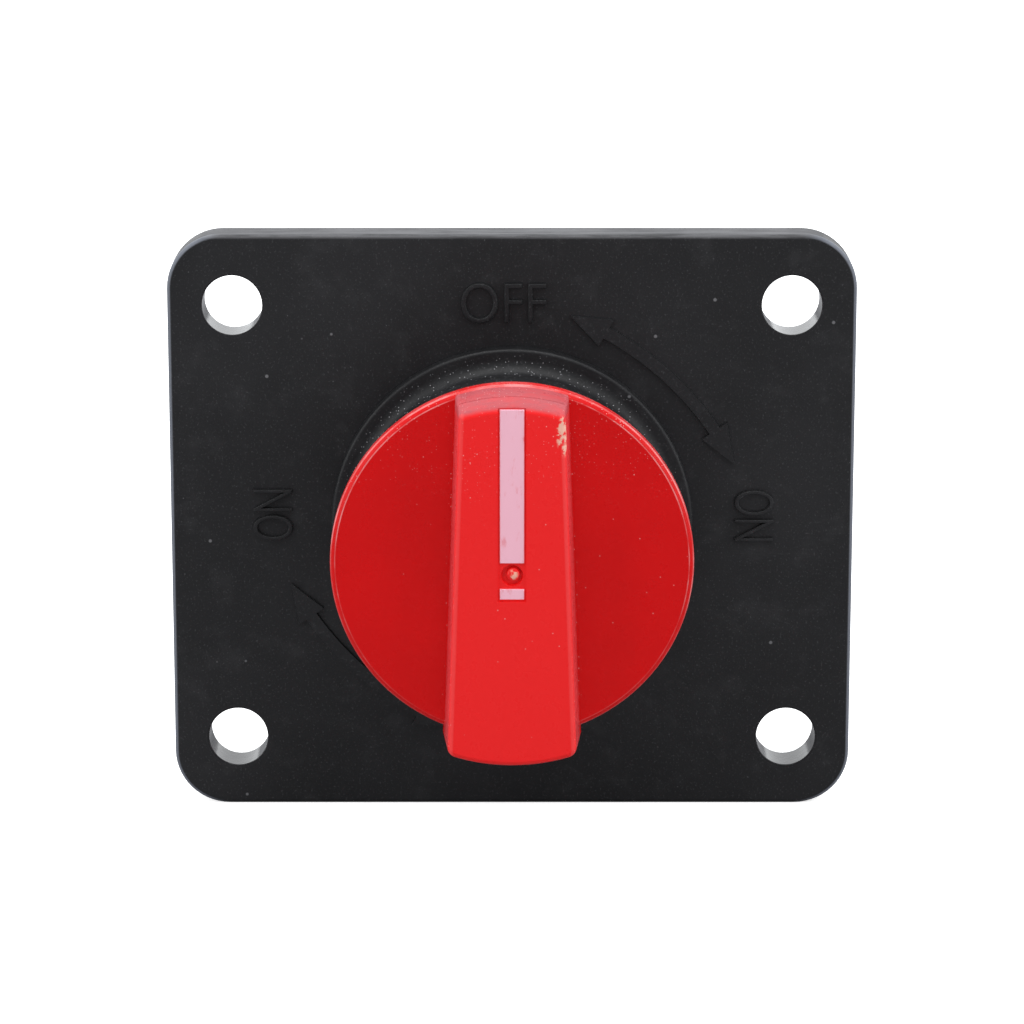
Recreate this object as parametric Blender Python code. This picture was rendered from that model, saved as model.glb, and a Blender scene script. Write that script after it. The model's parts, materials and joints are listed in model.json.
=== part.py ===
"""Panel-mounted rotary battery switch.

A knob turns a sprung copper bar onto two terminal studs. Units are metres. The front faces -Y, +Z is
up and +X is to the right seen from the front. The origin is on the knob's axis, in the plane of the
face plate's rear surface, which lies against the panel. A quarter turn about +Y, clockwise from the
front, takes the switch from off, as it is modelled, to on.
"""

import math

import bmesh
import bpy

# Clearances
GAP = 0.0003  # between pieces that rest on each other
FIT = 0.0002  # round a piece that is held in a pocket or on a square
RUN = 0.00015  # round a piece that turns or slides

# Facets in a full turn
LARGE = 56
MEDIUM = 32
SMALL = 20
TINY = 12
RING_FACETS = 6  # round an O-ring's section

# Face plate
PLATE_WIDTH = 0.0700
PLATE_HEIGHT = 0.0600
PLATE_THICKNESS = 0.0045
PLATE_CORNER = 0.0052
PLATE_EDGE = 0.0004
HOLE_RADIUS = 0.00305
HOLE_INSET_X = 0.0066
HOLE_INSET_Z = 0.00725
COLLAR_HEIGHT = 0.0146
COLLAR_WALL = 0.0025
COLLAR_ROOF = 0.0032
COLLAR_EDGE = 0.0004
COLLAR_FILLET = 0.0015
STEP_WIDTH = 0.0025
STEP_HEIGHT = 0.0015
SPIGOT_HEIGHT = 0.0035
SPIGOT_WALL = 0.0014
EMBED = 0.0010  # how far a joined shape starts inside what carries it

# Raised marks on the face plate
MARK_HEIGHT = 0.0004
LETTER_HEIGHT = 0.0041
LETTER_STROKE = 0.00055
LETTER_SPACE = 0.0007
LETTER_WIDTHS = {"O": 0.0029, "F": 0.0022, "N": 0.0027}
F_ARM_LEVEL = 0.45  # of the letter's height
F_ARM_REACH = 0.85  # of the letter's width
N_STROKE_RISE = 0.32  # of the letter's height
OFF_OFFSET = 0.0050
ON_OFFSET = 0.0067
ARROW_CENTRE = (-0.0061, -0.0083)
ARROW_RADIUS = 0.0323
ARROW_SHAFT = 0.00146
ARROW_HEAD = 0.0033
ARROW_TIPS = (27.0, 68.0)  # degrees
ARROW_HEAD_ANGLE = 7.0

# Knob
KNOB_RADIUS = 0.0180
KNOB_GAP = 0.0004
KNOB_EDGE = 0.0005
DISC_THICKNESS = 0.0020
GRIP_HEIGHT = 0.0050
GRIP_BASE_WIDTH = 0.01285
GRIP_FACE_WIDTH = 0.0110
GRIP_BASE_TAPER = 0.0625
GRIP_FACE_TAPER = 0.0800
GRIP_FRONT_SETBACK = 0.0013
GRIP_OVERHANG = 0.0013
GRIP_EDGE = 0.0004
HUB_WALL = 0.0012
GROOVE_WIDTH = 0.00275
GROOVE_DEPTH = 0.0005
POINTER_END = 0.0025
GATE_RADIUS = 0.0011
GATE_DEPTH = 0.0008
INSERT_RADIUS = 0.0027
INSERT_LENGTH = 0.0044

# Spindle and what it carries in the collar
SPINDLE_SQUARE = 0.0070
SPINDLE_FLANGE_WIDTH = 0.0021
SPINDLE_FLANGE = 0.0014
TENON_LENGTH = 0.0048
BUSH_WALL = 0.0015
BUSH_FLANGE_WIDTH = 0.0016
BUSH_FLANGE = 0.0010
SEAL_RADIUS = 0.0007
THRUST_WASHER = 0.0008
CAM_THICKNESS = 0.0050
CAM_MARGIN = 0.0031
NOTCH_RADIUS = 0.00175
NOTCH_COUNT = 4
LUG_THICKNESS = 0.0022
LUG_HALF_ANGLE = 12.0
LUG_MARGIN = 0.0006
STOP_HALF_ANGLE = 6.0
STOP_CLEARANCE = 1.5  # degrees between the lug and its stop
TRAVEL = 90.0  # degrees
LEAF_THICKNESS = 0.0005
LEAF_WIDTH = 0.0022
LEAF_BOW = 0.0024
LEAF_MARGIN = 0.0019
LEAF_END_MARGIN = 0.0006  # between the leaf's end and the cavity's wall
NOSE_DEPTH = 0.0004
NOSE_WIDTH = 0.2  # of half the leaf's length
LEAF_STEPS = 10  # in half the leaf's length
SPRING_POST_RADIUS = 0.0006
SPRING_POST_OFFSET = (0.0013, 0.0008)  # inwards from the leaf's end, along X and Z
SPRING_SPACE = 0.0038  # between the bush's flange and the cavity's wall
SPACER_WALL = 0.0018

# Contact carrier, contact bar and its springs
CARRIER_FRONT = 0.0025
CARRIER_BASE = 0.0050
CARRIER_WEB = 0.0012
CARRIER_RIM = 0.0017
CHEEK_WIDTH = 0.0047
CHEEK_HALF_LENGTH = 0.0070
LIP_REACH = 0.0008
LIP_HALF_LENGTH = 0.0030
LIP_THICKNESS = 0.0012
SPRING_OFFSET = 0.0088
SPRING_COIL = 0.0018
SPRING_WIRE = 0.0003
SPRING_TURNS = 4
SPRING_FLOOR = 0.0020
POCKET_MARGIN = 0.0005
SCREW_RADIUS = 0.0019
SCREW_HEAD_RADIUS = 0.0035
SCREW_HEAD = 0.0022
SCREW_WASHER_RADIUS = 0.0040
SCREW_WASHER = 0.0008
CROSS_LENGTH = 0.62  # a screw's cross recess, each of its head's radius
CROSS_WIDTH = 0.16
CROSS_DEPTH = 0.45
BAR_WIDTH = 0.0080
BAR_THICKNESS = 0.0030
BAR_END = 0.0020
BAR_CORNER = 0.0020
BAR_TRAVEL = 0.0010
BAR_FREE_SPACE = 0.0009
TIP_RADIUS = 0.0024
TIP_HEIGHT = 0.0015
TIP_SHANK_RADIUS = 0.0012
TIP_SHANK = 0.0026

# Rear housing
HOUSING_WALL = 0.0027
HOUSING_EDGE = 0.0010
HOUSING_FLOOR = 0.0063
GASKET_THICKNESS = 0.0010
POST_RADIUS = 0.0027
POST_MARGIN = 0.0006
POST_COUNT = 4
SWEEP_CLEARANCE = 0.0008
PLATE_POST_HEIGHT = 0.0060
BARRIER_THICKNESS = 0.0030
BARRIER_HEIGHT = 0.0120
BARRIER_HALF_LENGTH = 0.0170
PAD_RADIUS = 0.0090
PAD_HEIGHT = 0.0008
HOUSING_SCREW_RADIUS = 0.0015
HOUSING_SCREW_HEAD_RADIUS = 0.0026
HOUSING_SCREW_HEAD = 0.0020
HOUSING_SCREW_BITE = 0.0085
COUNTERBORE_DEPTH = 0.0026
PILOT_DEPTH = 0.0090

# Terminals
STUD_SPACING = 0.0260
STUD_RADIUS = 0.0040
STUD_CHAMFER = 0.0007
STUD_HEAD_X = 0.0100
STUD_HEAD_Z = 0.0090
STUD_HEAD = 0.0044
STUD_POCKET = 0.0011
STUD_TAIL = 0.0055
RING_SECTION = 0.0006
WASHER_RADIUS = 0.0080
WASHER_THICKNESS = 0.0016
CLAMP_NUT = 0.0040
TERMINAL_NUT = 0.0065
NUT_ACROSS_FLATS = 0.0130
LOCK_WASHER_RADIUS = 0.0074
LOCK_WASHER = 0.0020
LOCK_WASHER_SLIT = 0.0012

# Levels along Y, from the knob's face to the ends of the studs
PLATE_FRONT = -PLATE_THICKNESS
STEP_TOP = PLATE_FRONT - STEP_HEIGHT
COLLAR_TOP = PLATE_FRONT - COLLAR_HEIGHT
ROOF_INSIDE = COLLAR_TOP + COLLAR_ROOF
KNOB_BACK = COLLAR_TOP - KNOB_GAP
DISC_FACE = KNOB_BACK - DISC_THICKNESS
GRIP_FACE = DISC_FACE - GRIP_HEIGHT
BUSH_FLANGE_FRONT = ROOF_INSIDE + GAP
THRUST_FRONT = BUSH_FLANGE_FRONT + BUSH_FLANGE + GAP
FLANGE_FRONT = THRUST_FRONT + THRUST_WASHER + GAP
HUB_END = FLANGE_FRONT - GAP
CAM_FRONT = FLANGE_FRONT + SPINDLE_FLANGE + GAP
CAM_BACK = CAM_FRONT + CAM_THICKNESS
LUG_FRONT = CAM_BACK - LUG_THICKNESS
LEAF_FRONT = CAM_FRONT + FIT
CARRIER_FLOOR = CARRIER_FRONT + CARRIER_BASE
SPINDLE_FRONT = FLANGE_FRONT - TENON_LENGTH
SPINDLE_BACK = CARRIER_FLOOR - CARRIER_WEB - GAP
SCREW_HEAD_FRONT = CARRIER_FLOOR + GAP + SCREW_WASHER + GAP
BAR_FRONT = SCREW_HEAD_FRONT + SCREW_HEAD + BAR_TRAVEL + BAR_FREE_SPACE
BAR_BACK = BAR_FRONT + BAR_THICKNESS
TIP_BACK = BAR_BACK + GAP + TIP_HEIGHT
STUD_FRONT = TIP_BACK + GAP
FLOOR_INSIDE = STUD_FRONT + STUD_HEAD + GAP - STUD_POCKET
HOUSING_FRONT = GAP + GASKET_THICKNESS + GAP
HOUSING_BACK = FLOOR_INSIDE + HOUSING_FLOOR
PAD_FACE = HOUSING_BACK + PAD_HEIGHT
CLAMP_WASHER_FRONT = PAD_FACE + GAP
CLAMP_NUT_FRONT = CLAMP_WASHER_FRONT + WASHER_THICKNESS + GAP
LUG_WASHER_FRONT = CLAMP_NUT_FRONT + CLAMP_NUT + GAP
LOCK_WASHER_FRONT = LUG_WASHER_FRONT + WASHER_THICKNESS + GAP
TERMINAL_NUT_FRONT = LOCK_WASHER_FRONT + LOCK_WASHER + GAP
STUD_END = TERMINAL_NUT_FRONT + TERMINAL_NUT + STUD_TAIL

# Radii and half lengths that follow from the sizes above
HUB_RADIUS = (SPINDLE_SQUARE / 2 + FIT) * math.sqrt(2) + HUB_WALL
BUSH_BORE = HUB_RADIUS + RUN
BUSH_RADIUS = BUSH_BORE + BUSH_WALL
FLANGE_RADIUS = BUSH_RADIUS + BUSH_FLANGE_WIDTH
CAVITY_RADIUS = FLANGE_RADIUS + SPRING_SPACE
COLLAR_RADIUS = CAVITY_RADIUS + COLLAR_WALL
CAM_RADIUS = CAVITY_RADIUS - CAM_MARGIN
LEAF_MIDDLE = CAVITY_RADIUS - LEAF_MARGIN
LEAF_END = LEAF_MIDDLE - LEAF_BOW
LEAF_HALF_LENGTH = math.sqrt((CAVITY_RADIUS - LEAF_END_MARGIN) ** 2 - LEAF_END**2)
SPACER_BORE = SPINDLE_SQUARE / math.sqrt(2) + FIT
SLOT_HALF_WIDTH = BAR_WIDTH / 2 + GAP
POCKET_RADIUS = SPRING_COIL + SPRING_WIRE + POCKET_MARGIN
CARRIER_RADIUS = SPRING_OFFSET + POCKET_RADIUS + CARRIER_RIM
BAR_HALF_LENGTH = STUD_SPACING / 2 + BAR_END
BAR_SWEEP = math.hypot(BAR_HALF_LENGTH, BAR_WIDTH / 2)
POST_CIRCLE = BAR_SWEEP + SWEEP_CLEARANCE + POST_RADIUS
HOUSING_BORE = POST_CIRCLE + POST_RADIUS + POST_MARGIN
HOUSING_RADIUS = HOUSING_BORE + HOUSING_WALL

FINISHES = {  # colour, roughness, metallic
    "black_plastic": ((0.024, 0.025, 0.028), 0.55, 0.0),
    "housing_plastic": ((0.020, 0.021, 0.023), 0.50, 0.0),
    "red_plastic": ((0.76, 0.022, 0.026), 0.32, 0.0),
    "pointer_paint": ((0.86, 0.52, 0.60), 0.50, 0.0),
    "carrier_plastic": ((0.62, 0.60, 0.54), 0.45, 0.0),
    "cam_plastic": ((0.80, 0.79, 0.74), 0.40, 0.0),
    "seal_rubber": ((0.015, 0.015, 0.015), 0.85, 0.0),
    "gasket_rubber": ((0.05, 0.05, 0.05), 0.90, 0.0),
    "brass": ((0.72, 0.52, 0.22), 0.30, 1.0),
    "copper": ((0.80, 0.42, 0.28), 0.28, 1.0),
    "silver": ((0.86, 0.85, 0.82), 0.25, 1.0),
    "tinned_copper": ((0.70, 0.69, 0.66), 0.30, 1.0),
    "zinc_steel": ((0.62, 0.63, 0.65), 0.32, 1.0),
    "spring_steel": ((0.46, 0.46, 0.48), 0.30, 1.0),
}


def clear_scene():
    for obj in list(bpy.data.objects):
        bpy.data.objects.remove(obj, do_unlink=True)


def finish_of(name):
    material = bpy.data.materials.get(name)
    if material is None:
        colour, roughness, metallic = FINISHES[name]
        material = bpy.data.materials.new(name)
        material.use_nodes = True
        shader = material.node_tree.nodes["Principled BSDF"]
        shader.inputs["Base Color"].default_value = (*colour, 1.0)
        shader.inputs["Roughness"].default_value = roughness
        shader.inputs["Metallic"].default_value = metallic
    return material


def object_of(name, bm, place=(0.0, 0.0, 0.0)):
    """A new object from a bmesh, with its faces facing out."""
    bmesh.ops.recalc_face_normals(bm, faces=bm.faces)
    mesh = bpy.data.meshes.new(name)
    bm.to_mesh(mesh)
    bm.free()
    mesh.shade_smooth()
    mesh.set_sharp_from_angle(angle=math.radians(30))
    obj = bpy.data.objects.new(name, mesh)
    obj.location = place
    bpy.context.collection.objects.link(obj)
    return obj


def turned(name, profile, steps=MEDIUM, place=(0.0, 0.0, 0.0)):
    """A profile of (radius, y) points turned about Y: a closed ring, or a solid that ends on the axis."""
    bm = bmesh.new()
    points = [bm.verts.new((radius, y, 0.0)) for radius, y in profile]
    edges = [bm.edges.new(pair) for pair in zip(points, points[1:])]
    if min(radius for radius, _ in profile) > 0:
        edges.append(bm.edges.new((points[-1], points[0])))
    bmesh.ops.spin(
        bm,
        geom=points + edges,
        cent=(0, 0, 0),
        axis=(0, 1, 0),
        angle=2 * math.pi,
        steps=steps,
        use_merge=True,
    )
    bmesh.ops.remove_doubles(bm, verts=bm.verts, dist=1e-7)
    return object_of(name, bm, place)


def rod(name, radius, front, back, steps=MEDIUM, place=(0.0, 0.0, 0.0)):
    return turned(name, [(0, front), (radius, front), (radius, back), (0, back)], steps, place)


def ring(name, bore, radius, front, back, steps=MEDIUM, place=(0.0, 0.0, 0.0)):
    return turned(name, [(bore, front), (radius, front), (radius, back), (bore, back)], steps, place)


def o_ring(name, mean_radius, section, y, place=(0.0, 0.0, 0.0)):
    angles = [2 * math.pi * i / RING_FACETS for i in range(RING_FACETS)]
    profile = [(mean_radius + section * math.cos(a), y + section * math.sin(a)) for a in angles]
    return turned(name, profile, SMALL, place)


def prism(name, outline, front, back, place=(0.0, 0.0, 0.0)):
    """An outline of (x, z) points extruded along Y."""
    bm = bmesh.new()
    face = bm.faces.new([bm.verts.new((x, front, z)) for x, z in outline])
    grown = bmesh.ops.extrude_face_region(bm, geom=[face])
    moved = [item for item in grown["geom"] if isinstance(item, bmesh.types.BMVert)]
    bmesh.ops.translate(bm, vec=(0, back - front, 0), verts=moved)
    return object_of(name, bm, place)


def arc(centre, radius, start, end, count):
    """Points along an arc in the XZ plane, with angles in degrees from +X towards +Z."""
    turns = [math.radians(start + (end - start) * i / count) for i in range(count + 1)]
    return [(centre[0] + radius * math.cos(a), centre[1] + radius * math.sin(a)) for a in turns]


def rounded_rectangle(width, height, corner, steps=6):
    x, z = width / 2 - corner, height / 2 - corner
    corners = (((x, z), 0), ((-x, z), 90), ((-x, -z), 180), ((x, -z), 270))
    return [p for centre, start in corners for p in arc(centre, corner, start, start + 90, steps)]


def rectangle(x0, x1, z0, z1):
    return [(x0, z0), (x1, z0), (x1, z1), (x0, z1)]


def combine(obj, tool, operation):
    """Adds a Boolean and keeps its tool as a hidden guide."""
    boolean = obj.modifiers.new(tool.name, "BOOLEAN")
    boolean.operation = operation
    boolean.object = tool
    boolean.solver = "EXACT"
    tool.hide_render = True
    tool.display_type = "WIRE"


def join(obj, tool):
    combine(obj, tool, "UNION")


def cut(obj, tool):
    combine(obj, tool, "DIFFERENCE")


def round_edges(obj, width, segments=1, sharper_than=50):
    bevel = obj.modifiers.new("edges", "BEVEL")
    bevel.width = width
    bevel.segments = segments
    bevel.limit_method = "ANGLE"
    bevel.angle_limit = math.radians(sharper_than)


def finished(obj, finish, parent=None):
    obj.data.materials.append(finish_of(finish))
    obj.parent = parent
    return obj


def hole_places():
    x = PLATE_WIDTH / 2 - HOLE_INSET_X
    z = PLATE_HEIGHT / 2 - HOLE_INSET_Z
    return [(-x, z), (x, z), (-x, -z), (x, -z)]


def post_places():
    """The housing screws' places, midway between the two terminals' axis and the upright axis."""
    angles = [math.radians(45 + 360 * i / POST_COUNT) for i in range(POST_COUNT)]
    return [(POST_CIRCLE * math.cos(a), POST_CIRCLE * math.sin(a)) for a in angles]


def letter_outlines(letter):
    """The outer outline of a letter that starts at the origin, and its hole if it has one."""
    w, h, t = LETTER_WIDTHS[letter], LETTER_HEIGHT, LETTER_STROKE
    if letter == "O":
        turns = [2 * math.pi * i / TINY for i in range(TINY)]
        loops = [
            [(w / 2 + (w / 2 - s) * math.cos(a), h / 2 + (h / 2 - s) * math.sin(a)) for a in turns]
            for s in (0, t)
        ]
        return loops[0], loops[1]
    if letter == "F":
        low, high, reach = F_ARM_LEVEL * h, F_ARM_LEVEL * h + t, F_ARM_REACH * w
        arm = [(t, low), (reach, low), (reach, high), (t, high), (t, h - t)]
        return [(0, 0), (t, 0), *arm, (w, h - t), (w, h), (0, h)], None
    slope = N_STROKE_RISE * h
    left = [(0, 0), (t, 0), (t, h - slope), (w - t, 0)]
    return [*left, (w, 0), (w, h), (w - t, h), (w - t, slope), (t, h), (0, h)], None


def raised_word(word, centre, turn):
    """A word's raised letters, each with its hole's cutter, turned by an angle in degrees."""
    width = sum(LETTER_WIDTHS[c] for c in word) + LETTER_SPACE * (len(word) - 1)
    c, s = math.cos(math.radians(turn)), math.sin(math.radians(turn))
    across = -width / 2
    for i, letter in enumerate(word):
        solids = []
        for outline in letter_outlines(letter):
            if outline is None:
                solids.append(None)
                continue
            flat = [(x + across, z - LETTER_HEIGHT / 2) for x, z in outline]
            placed = [(centre[0] + x * c - z * s, centre[1] + x * s + z * c) for x, z in flat]
            kind = "guide_hole" if solids else "guide_letter"
            name = f"{kind}_{word}_{turn:.0f}_{i}"
            back = PLATE_FRONT + (0 if solids else EMBED)
            solids.append(prism(name, placed, PLATE_FRONT - MARK_HEIGHT - (GAP if solids else 0), back))
        yield solids
        across += LETTER_WIDTHS[letter] + LETTER_SPACE


def arrow_outline(turn):
    """A curved double-headed arrow, turned about the knob's axis by an angle in degrees."""
    c, s = math.cos(math.radians(turn)), math.sin(math.radians(turn))
    centre = (ARROW_CENTRE[0] * c - ARROW_CENTRE[1] * s, ARROW_CENTRE[0] * s + ARROW_CENTRE[1] * c)
    low, high = (tip + turn for tip in ARROW_TIPS)
    start, end = low + ARROW_HEAD_ANGLE, high - ARROW_HEAD_ANGLE
    outer, inner = ARROW_RADIUS + ARROW_SHAFT / 2, ARROW_RADIUS - ARROW_SHAFT / 2
    wide, narrow = ARROW_RADIUS + ARROW_HEAD / 2, ARROW_RADIUS - ARROW_HEAD / 2
    points = arc(centre, ARROW_RADIUS, low, low, 1)[:1]
    points += arc(centre, wide, start, start, 1)[:1]
    points += arc(centre, outer, start, end, 6)
    points += arc(centre, wide, end, end, 1)[:1]
    points += arc(centre, ARROW_RADIUS, high, high, 1)[:1]
    points += arc(centre, narrow, end, end, 1)[:1]
    points += arc(centre, inner, end, start, 6)
    points += arc(centre, narrow, start, start, 1)[:1]
    return points


def add_marks(plate):
    on = KNOB_RADIUS + ON_OFFSET
    words = (("OFF", (0, KNOB_RADIUS + OFF_OFFSET), 0), ("ON", (on, 0), -90), ("ON", (-on, 0), 90))
    for word, centre, turn in words:
        for solid, hole in raised_word(word, centre, turn):
            join(plate, solid)
            if hole:
                cut(plate, hole)
    for turn in (0, 180):
        outline = arrow_outline(turn)
        join(plate, prism(f"guide_arrow_{turn}", outline, PLATE_FRONT - MARK_HEIGHT, PLATE_FRONT + EMBED))


def collar_profile():
    """From the axis inside the plate, out over the step, up the fillet and the wall to the top."""
    step = COLLAR_RADIUS + STEP_WIDTH
    fillet_centre = (COLLAR_RADIUS + COLLAR_FILLET, STEP_TOP - COLLAR_FILLET)
    fillet = arc(fillet_centre, COLLAR_FILLET, 90, 180, 3)
    return [
        (0, PLATE_FRONT + EMBED),
        (step, PLATE_FRONT + EMBED),
        (step, STEP_TOP + COLLAR_EDGE),
        (step - COLLAR_EDGE, STEP_TOP),
        *fillet,
        (COLLAR_RADIUS, COLLAR_TOP + COLLAR_EDGE),
        (COLLAR_RADIUS - COLLAR_EDGE, COLLAR_TOP),
        (0, COLLAR_TOP),
    ]


def stop_outline(middle):
    """A rib on the cavity's wall that the cam's lug comes up against."""
    low, high = middle - STOP_HALF_ANGLE, middle + STOP_HALF_ANGLE
    outer = arc((0, 0), CAVITY_RADIUS + EMBED, low, high, 3)
    inner = arc((0, 0), CAM_RADIUS + EMBED, high, low, 3)
    return outer + inner


def make_face_plate():
    outline = rounded_rectangle(PLATE_WIDTH, PLATE_HEIGHT, PLATE_CORNER)
    plate = prism("face_plate", outline, PLATE_FRONT, 0)
    round_edges(plate, PLATE_EDGE)
    join(plate, turned("guide_collar", collar_profile(), LARGE))
    spigot = HOUSING_BORE - GAP
    join(plate, ring("guide_spigot", spigot - SPIGOT_WALL, spigot, -EMBED, SPIGOT_HEIGHT, LARGE))
    for i, (x, z) in enumerate(post_places()):
        boss = POST_RADIUS + RUN
        join(plate, rod(f"guide_boss_{i}", boss, -EMBED, PLATE_POST_HEIGHT, SMALL, (x, 0, z)))
    cut(plate, rod("guide_cavity", CAVITY_RADIUS, ROOF_INSIDE, EMBED, LARGE))
    cut(plate, rod("guide_bush_seat", BUSH_RADIUS + FIT, COLLAR_TOP - EMBED, ROOF_INSIDE + EMBED))
    start = 90 + LUG_HALF_ANGLE + STOP_CLEARANCE + STOP_HALF_ANGLE
    for i, middle in enumerate((start, 180 - TRAVEL - start)):
        join(plate, prism(f"guide_stop_{i}", stop_outline(middle), LUG_FRONT, -EMBED))
    post_x = LEAF_END - SPRING_POST_OFFSET[0]
    post_z = LEAF_HALF_LENGTH - SPRING_POST_OFFSET[1]
    for i, (sx, sz) in enumerate(((1, 1), (1, -1), (-1, 1), (-1, -1))):
        place = (sx * post_x, 0, sz * post_z)
        front, back = ROOF_INSIDE - EMBED, LEAF_FRONT + LEAF_WIDTH
        join(plate, rod(f"guide_spring_post_{i}", SPRING_POST_RADIUS, front, back, TINY, place))
    for i, (x, z) in enumerate(hole_places()):
        hole = rod(f"guide_hole_{i}", HOLE_RADIUS, PLATE_FRONT - EMBED, EMBED, MEDIUM, (x, 0, z))
        cut(plate, hole)
    for i, (x, z) in enumerate(post_places()):
        pilot = HOUSING_SCREW_RADIUS + RUN
        depth = PLATE_POST_HEIGHT - PILOT_DEPTH
        cut(plate, rod(f"guide_pilot_{i}", pilot, depth, PLATE_POST_HEIGHT + EMBED, TINY, (x, 0, z)))
    add_marks(plate)
    return finished(plate, "black_plastic")


def make_spindle_bush():
    flange_back = BUSH_FLANGE_FRONT + BUSH_FLANGE
    sleeve_front = seal_y() + SEAL_RADIUS + FIT
    profile = [
        (BUSH_BORE, sleeve_front),
        (BUSH_RADIUS, sleeve_front),
        (BUSH_RADIUS, BUSH_FLANGE_FRONT),
        (FLANGE_RADIUS, BUSH_FLANGE_FRONT),
        (FLANGE_RADIUS, flange_back),
        (BUSH_BORE, flange_back),
    ]
    return finished(turned("spindle_bush", profile), "brass")


def seal_y():
    return COLLAR_TOP + SEAL_RADIUS + FIT


def make_spindle_seal():
    mean = (HUB_RADIUS + BUSH_RADIUS + FIT) / 2
    return finished(o_ring("spindle_seal", mean, SEAL_RADIUS, seal_y()), "seal_rubber")


def leaf_path():
    """A bowed leaf with a nose in its middle that drops into the cam's notch."""
    nose = LEAF_MIDDLE - (CAM_RADIUS - NOSE_DEPTH)
    shares = [i / LEAF_STEPS for i in range(-LEAF_STEPS, LEAF_STEPS + 1)]
    bow = [LEAF_BOW * s * s + nose * math.exp(-((s / NOSE_WIDTH) ** 2)) for s in shares]
    return [(LEAF_MIDDLE - x, LEAF_HALF_LENGTH * s) for x, s in zip(bow, shares)]


def make_detent_spring(name, side):
    bm = bmesh.new()
    points = [bm.verts.new((side * x, LEAF_FRONT, z)) for x, z in leaf_path()]
    edges = [bm.edges.new(pair) for pair in zip(points, points[1:])]
    grown = bmesh.ops.extrude_edge_only(bm, edges=edges)
    moved = [item for item in grown["geom"] if isinstance(item, bmesh.types.BMVert)]
    bmesh.ops.translate(bm, vec=(0, LEAF_WIDTH, 0), verts=moved)
    leaf = object_of(name, bm)
    solidify = leaf.modifiers.new("thickness", "SOLIDIFY")
    solidify.thickness = LEAF_THICKNESS
    solidify.offset = 0
    return finished(leaf, "spring_steel")


def make_housing_gasket():
    return finished(
        ring("housing_gasket", HOUSING_BORE + GAP, HOUSING_RADIUS - GAP, GAP, GAP + GASKET_THICKNESS, LARGE),
        "gasket_rubber",
    )


def make_rear_housing():
    profile = [
        (0, FLOOR_INSIDE),
        (HOUSING_BORE, FLOOR_INSIDE),
        (HOUSING_BORE, HOUSING_FRONT),
        (HOUSING_RADIUS, HOUSING_FRONT),
        (HOUSING_RADIUS, HOUSING_BACK - HOUSING_EDGE),
        (HOUSING_RADIUS - HOUSING_EDGE, HOUSING_BACK),
        (0, HOUSING_BACK),
    ]
    housing = turned("rear_housing", profile, LARGE)
    half = BARRIER_THICKNESS / 2
    barrier = rectangle(-half, half, -BARRIER_HALF_LENGTH, BARRIER_HALF_LENGTH)
    top = HOUSING_BACK + BARRIER_HEIGHT
    join(housing, prism("guide_barrier", barrier, HOUSING_BACK - EMBED, top))
    for side in (-1, 1):
        place = (side * STUD_SPACING / 2, 0, 0)
        join(housing, rod(f"guide_pad_{side}", PAD_RADIUS, HOUSING_BACK - EMBED, PAD_FACE, MEDIUM, place))
    for i, (x, z) in enumerate(post_places()):
        front = PLATE_POST_HEIGHT + GAP
        join(housing, rod(f"guide_post_{i}", POST_RADIUS, front, FLOOR_INSIDE + EMBED, SMALL, (x, 0, z)))
    for i, (x, z) in enumerate(post_places()):
        bore = HOUSING_SCREW_RADIUS + RUN
        cut(housing, rod(f"guide_bore_{i}", bore, 0, HOUSING_BACK + EMBED, TINY, (x, 0, z)))
        sink = HOUSING_SCREW_HEAD_RADIUS + FIT
        depth = HOUSING_BACK - COUNTERBORE_DEPTH
        cut(housing, rod(f"guide_sink_{i}", sink, depth, HOUSING_BACK + EMBED, SMALL, (x, 0, z)))
    for side in (-1, 1):
        place = (side * STUD_SPACING / 2, 0, 0)
        front = FLOOR_INSIDE - EMBED
        cut(housing, rod(f"guide_stud_hole_{side}", STUD_RADIUS + FIT, front, PAD_FACE + EMBED, SMALL, place))
        pocket = rounded_rectangle(STUD_HEAD_X + 2 * GAP, STUD_HEAD_Z + 2 * GAP, GAP, 2)
        floor = FLOOR_INSIDE + STUD_POCKET
        cut(housing, prism(f"guide_head_pocket_{side}", pocket, front, floor, place))
        groove = STUD_RADIUS + 2 * RING_SECTION + 2 * FIT
        bottom = PAD_FACE - 2 * RING_SECTION - FIT
        cut(housing, rod(f"guide_seal_groove_{side}", groove, bottom, PAD_FACE + EMBED, SMALL, place))
    return finished(housing, "housing_plastic")


def make_housing_screw(name, place):
    head_front = HOUSING_BACK - COUNTERBORE_DEPTH + GAP
    head_back = head_front + HOUSING_SCREW_HEAD
    tip = PLATE_POST_HEIGHT - HOUSING_SCREW_BITE
    profile = [
        (0, tip),
        (HOUSING_SCREW_RADIUS / 2, tip),
        (HOUSING_SCREW_RADIUS, tip + HOUSING_SCREW_RADIUS),
        (HOUSING_SCREW_RADIUS, head_front),
        (HOUSING_SCREW_HEAD_RADIUS, head_front),
        (HOUSING_SCREW_HEAD_RADIUS, head_back - GAP),
        (HOUSING_SCREW_HEAD_RADIUS - GAP, head_back),
        (0, head_back),
    ]
    screw = turned(name, profile, TINY, place)
    cut_cross(screw, place, HOUSING_SCREW_HEAD_RADIUS, head_back)
    return finished(screw, "zinc_steel")


def cut_cross(screw, place, head_radius, head_back):
    """A cross recess in a screw's head."""
    long, short, depth = (share * head_radius for share in (CROSS_LENGTH, CROSS_WIDTH, CROSS_DEPTH))
    outline = [
        (long, -short),
        (long, short),
        (short, short),
        (short, long),
        (-short, long),
        (-short, short),
        (-long, short),
        (-long, -short),
        (-short, -short),
        (-short, -long),
        (short, -long),
        (short, -short),
    ]
    cut(screw, prism(f"guide_cross_{screw.name}", outline, head_back - depth, head_back + EMBED, place))


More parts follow.
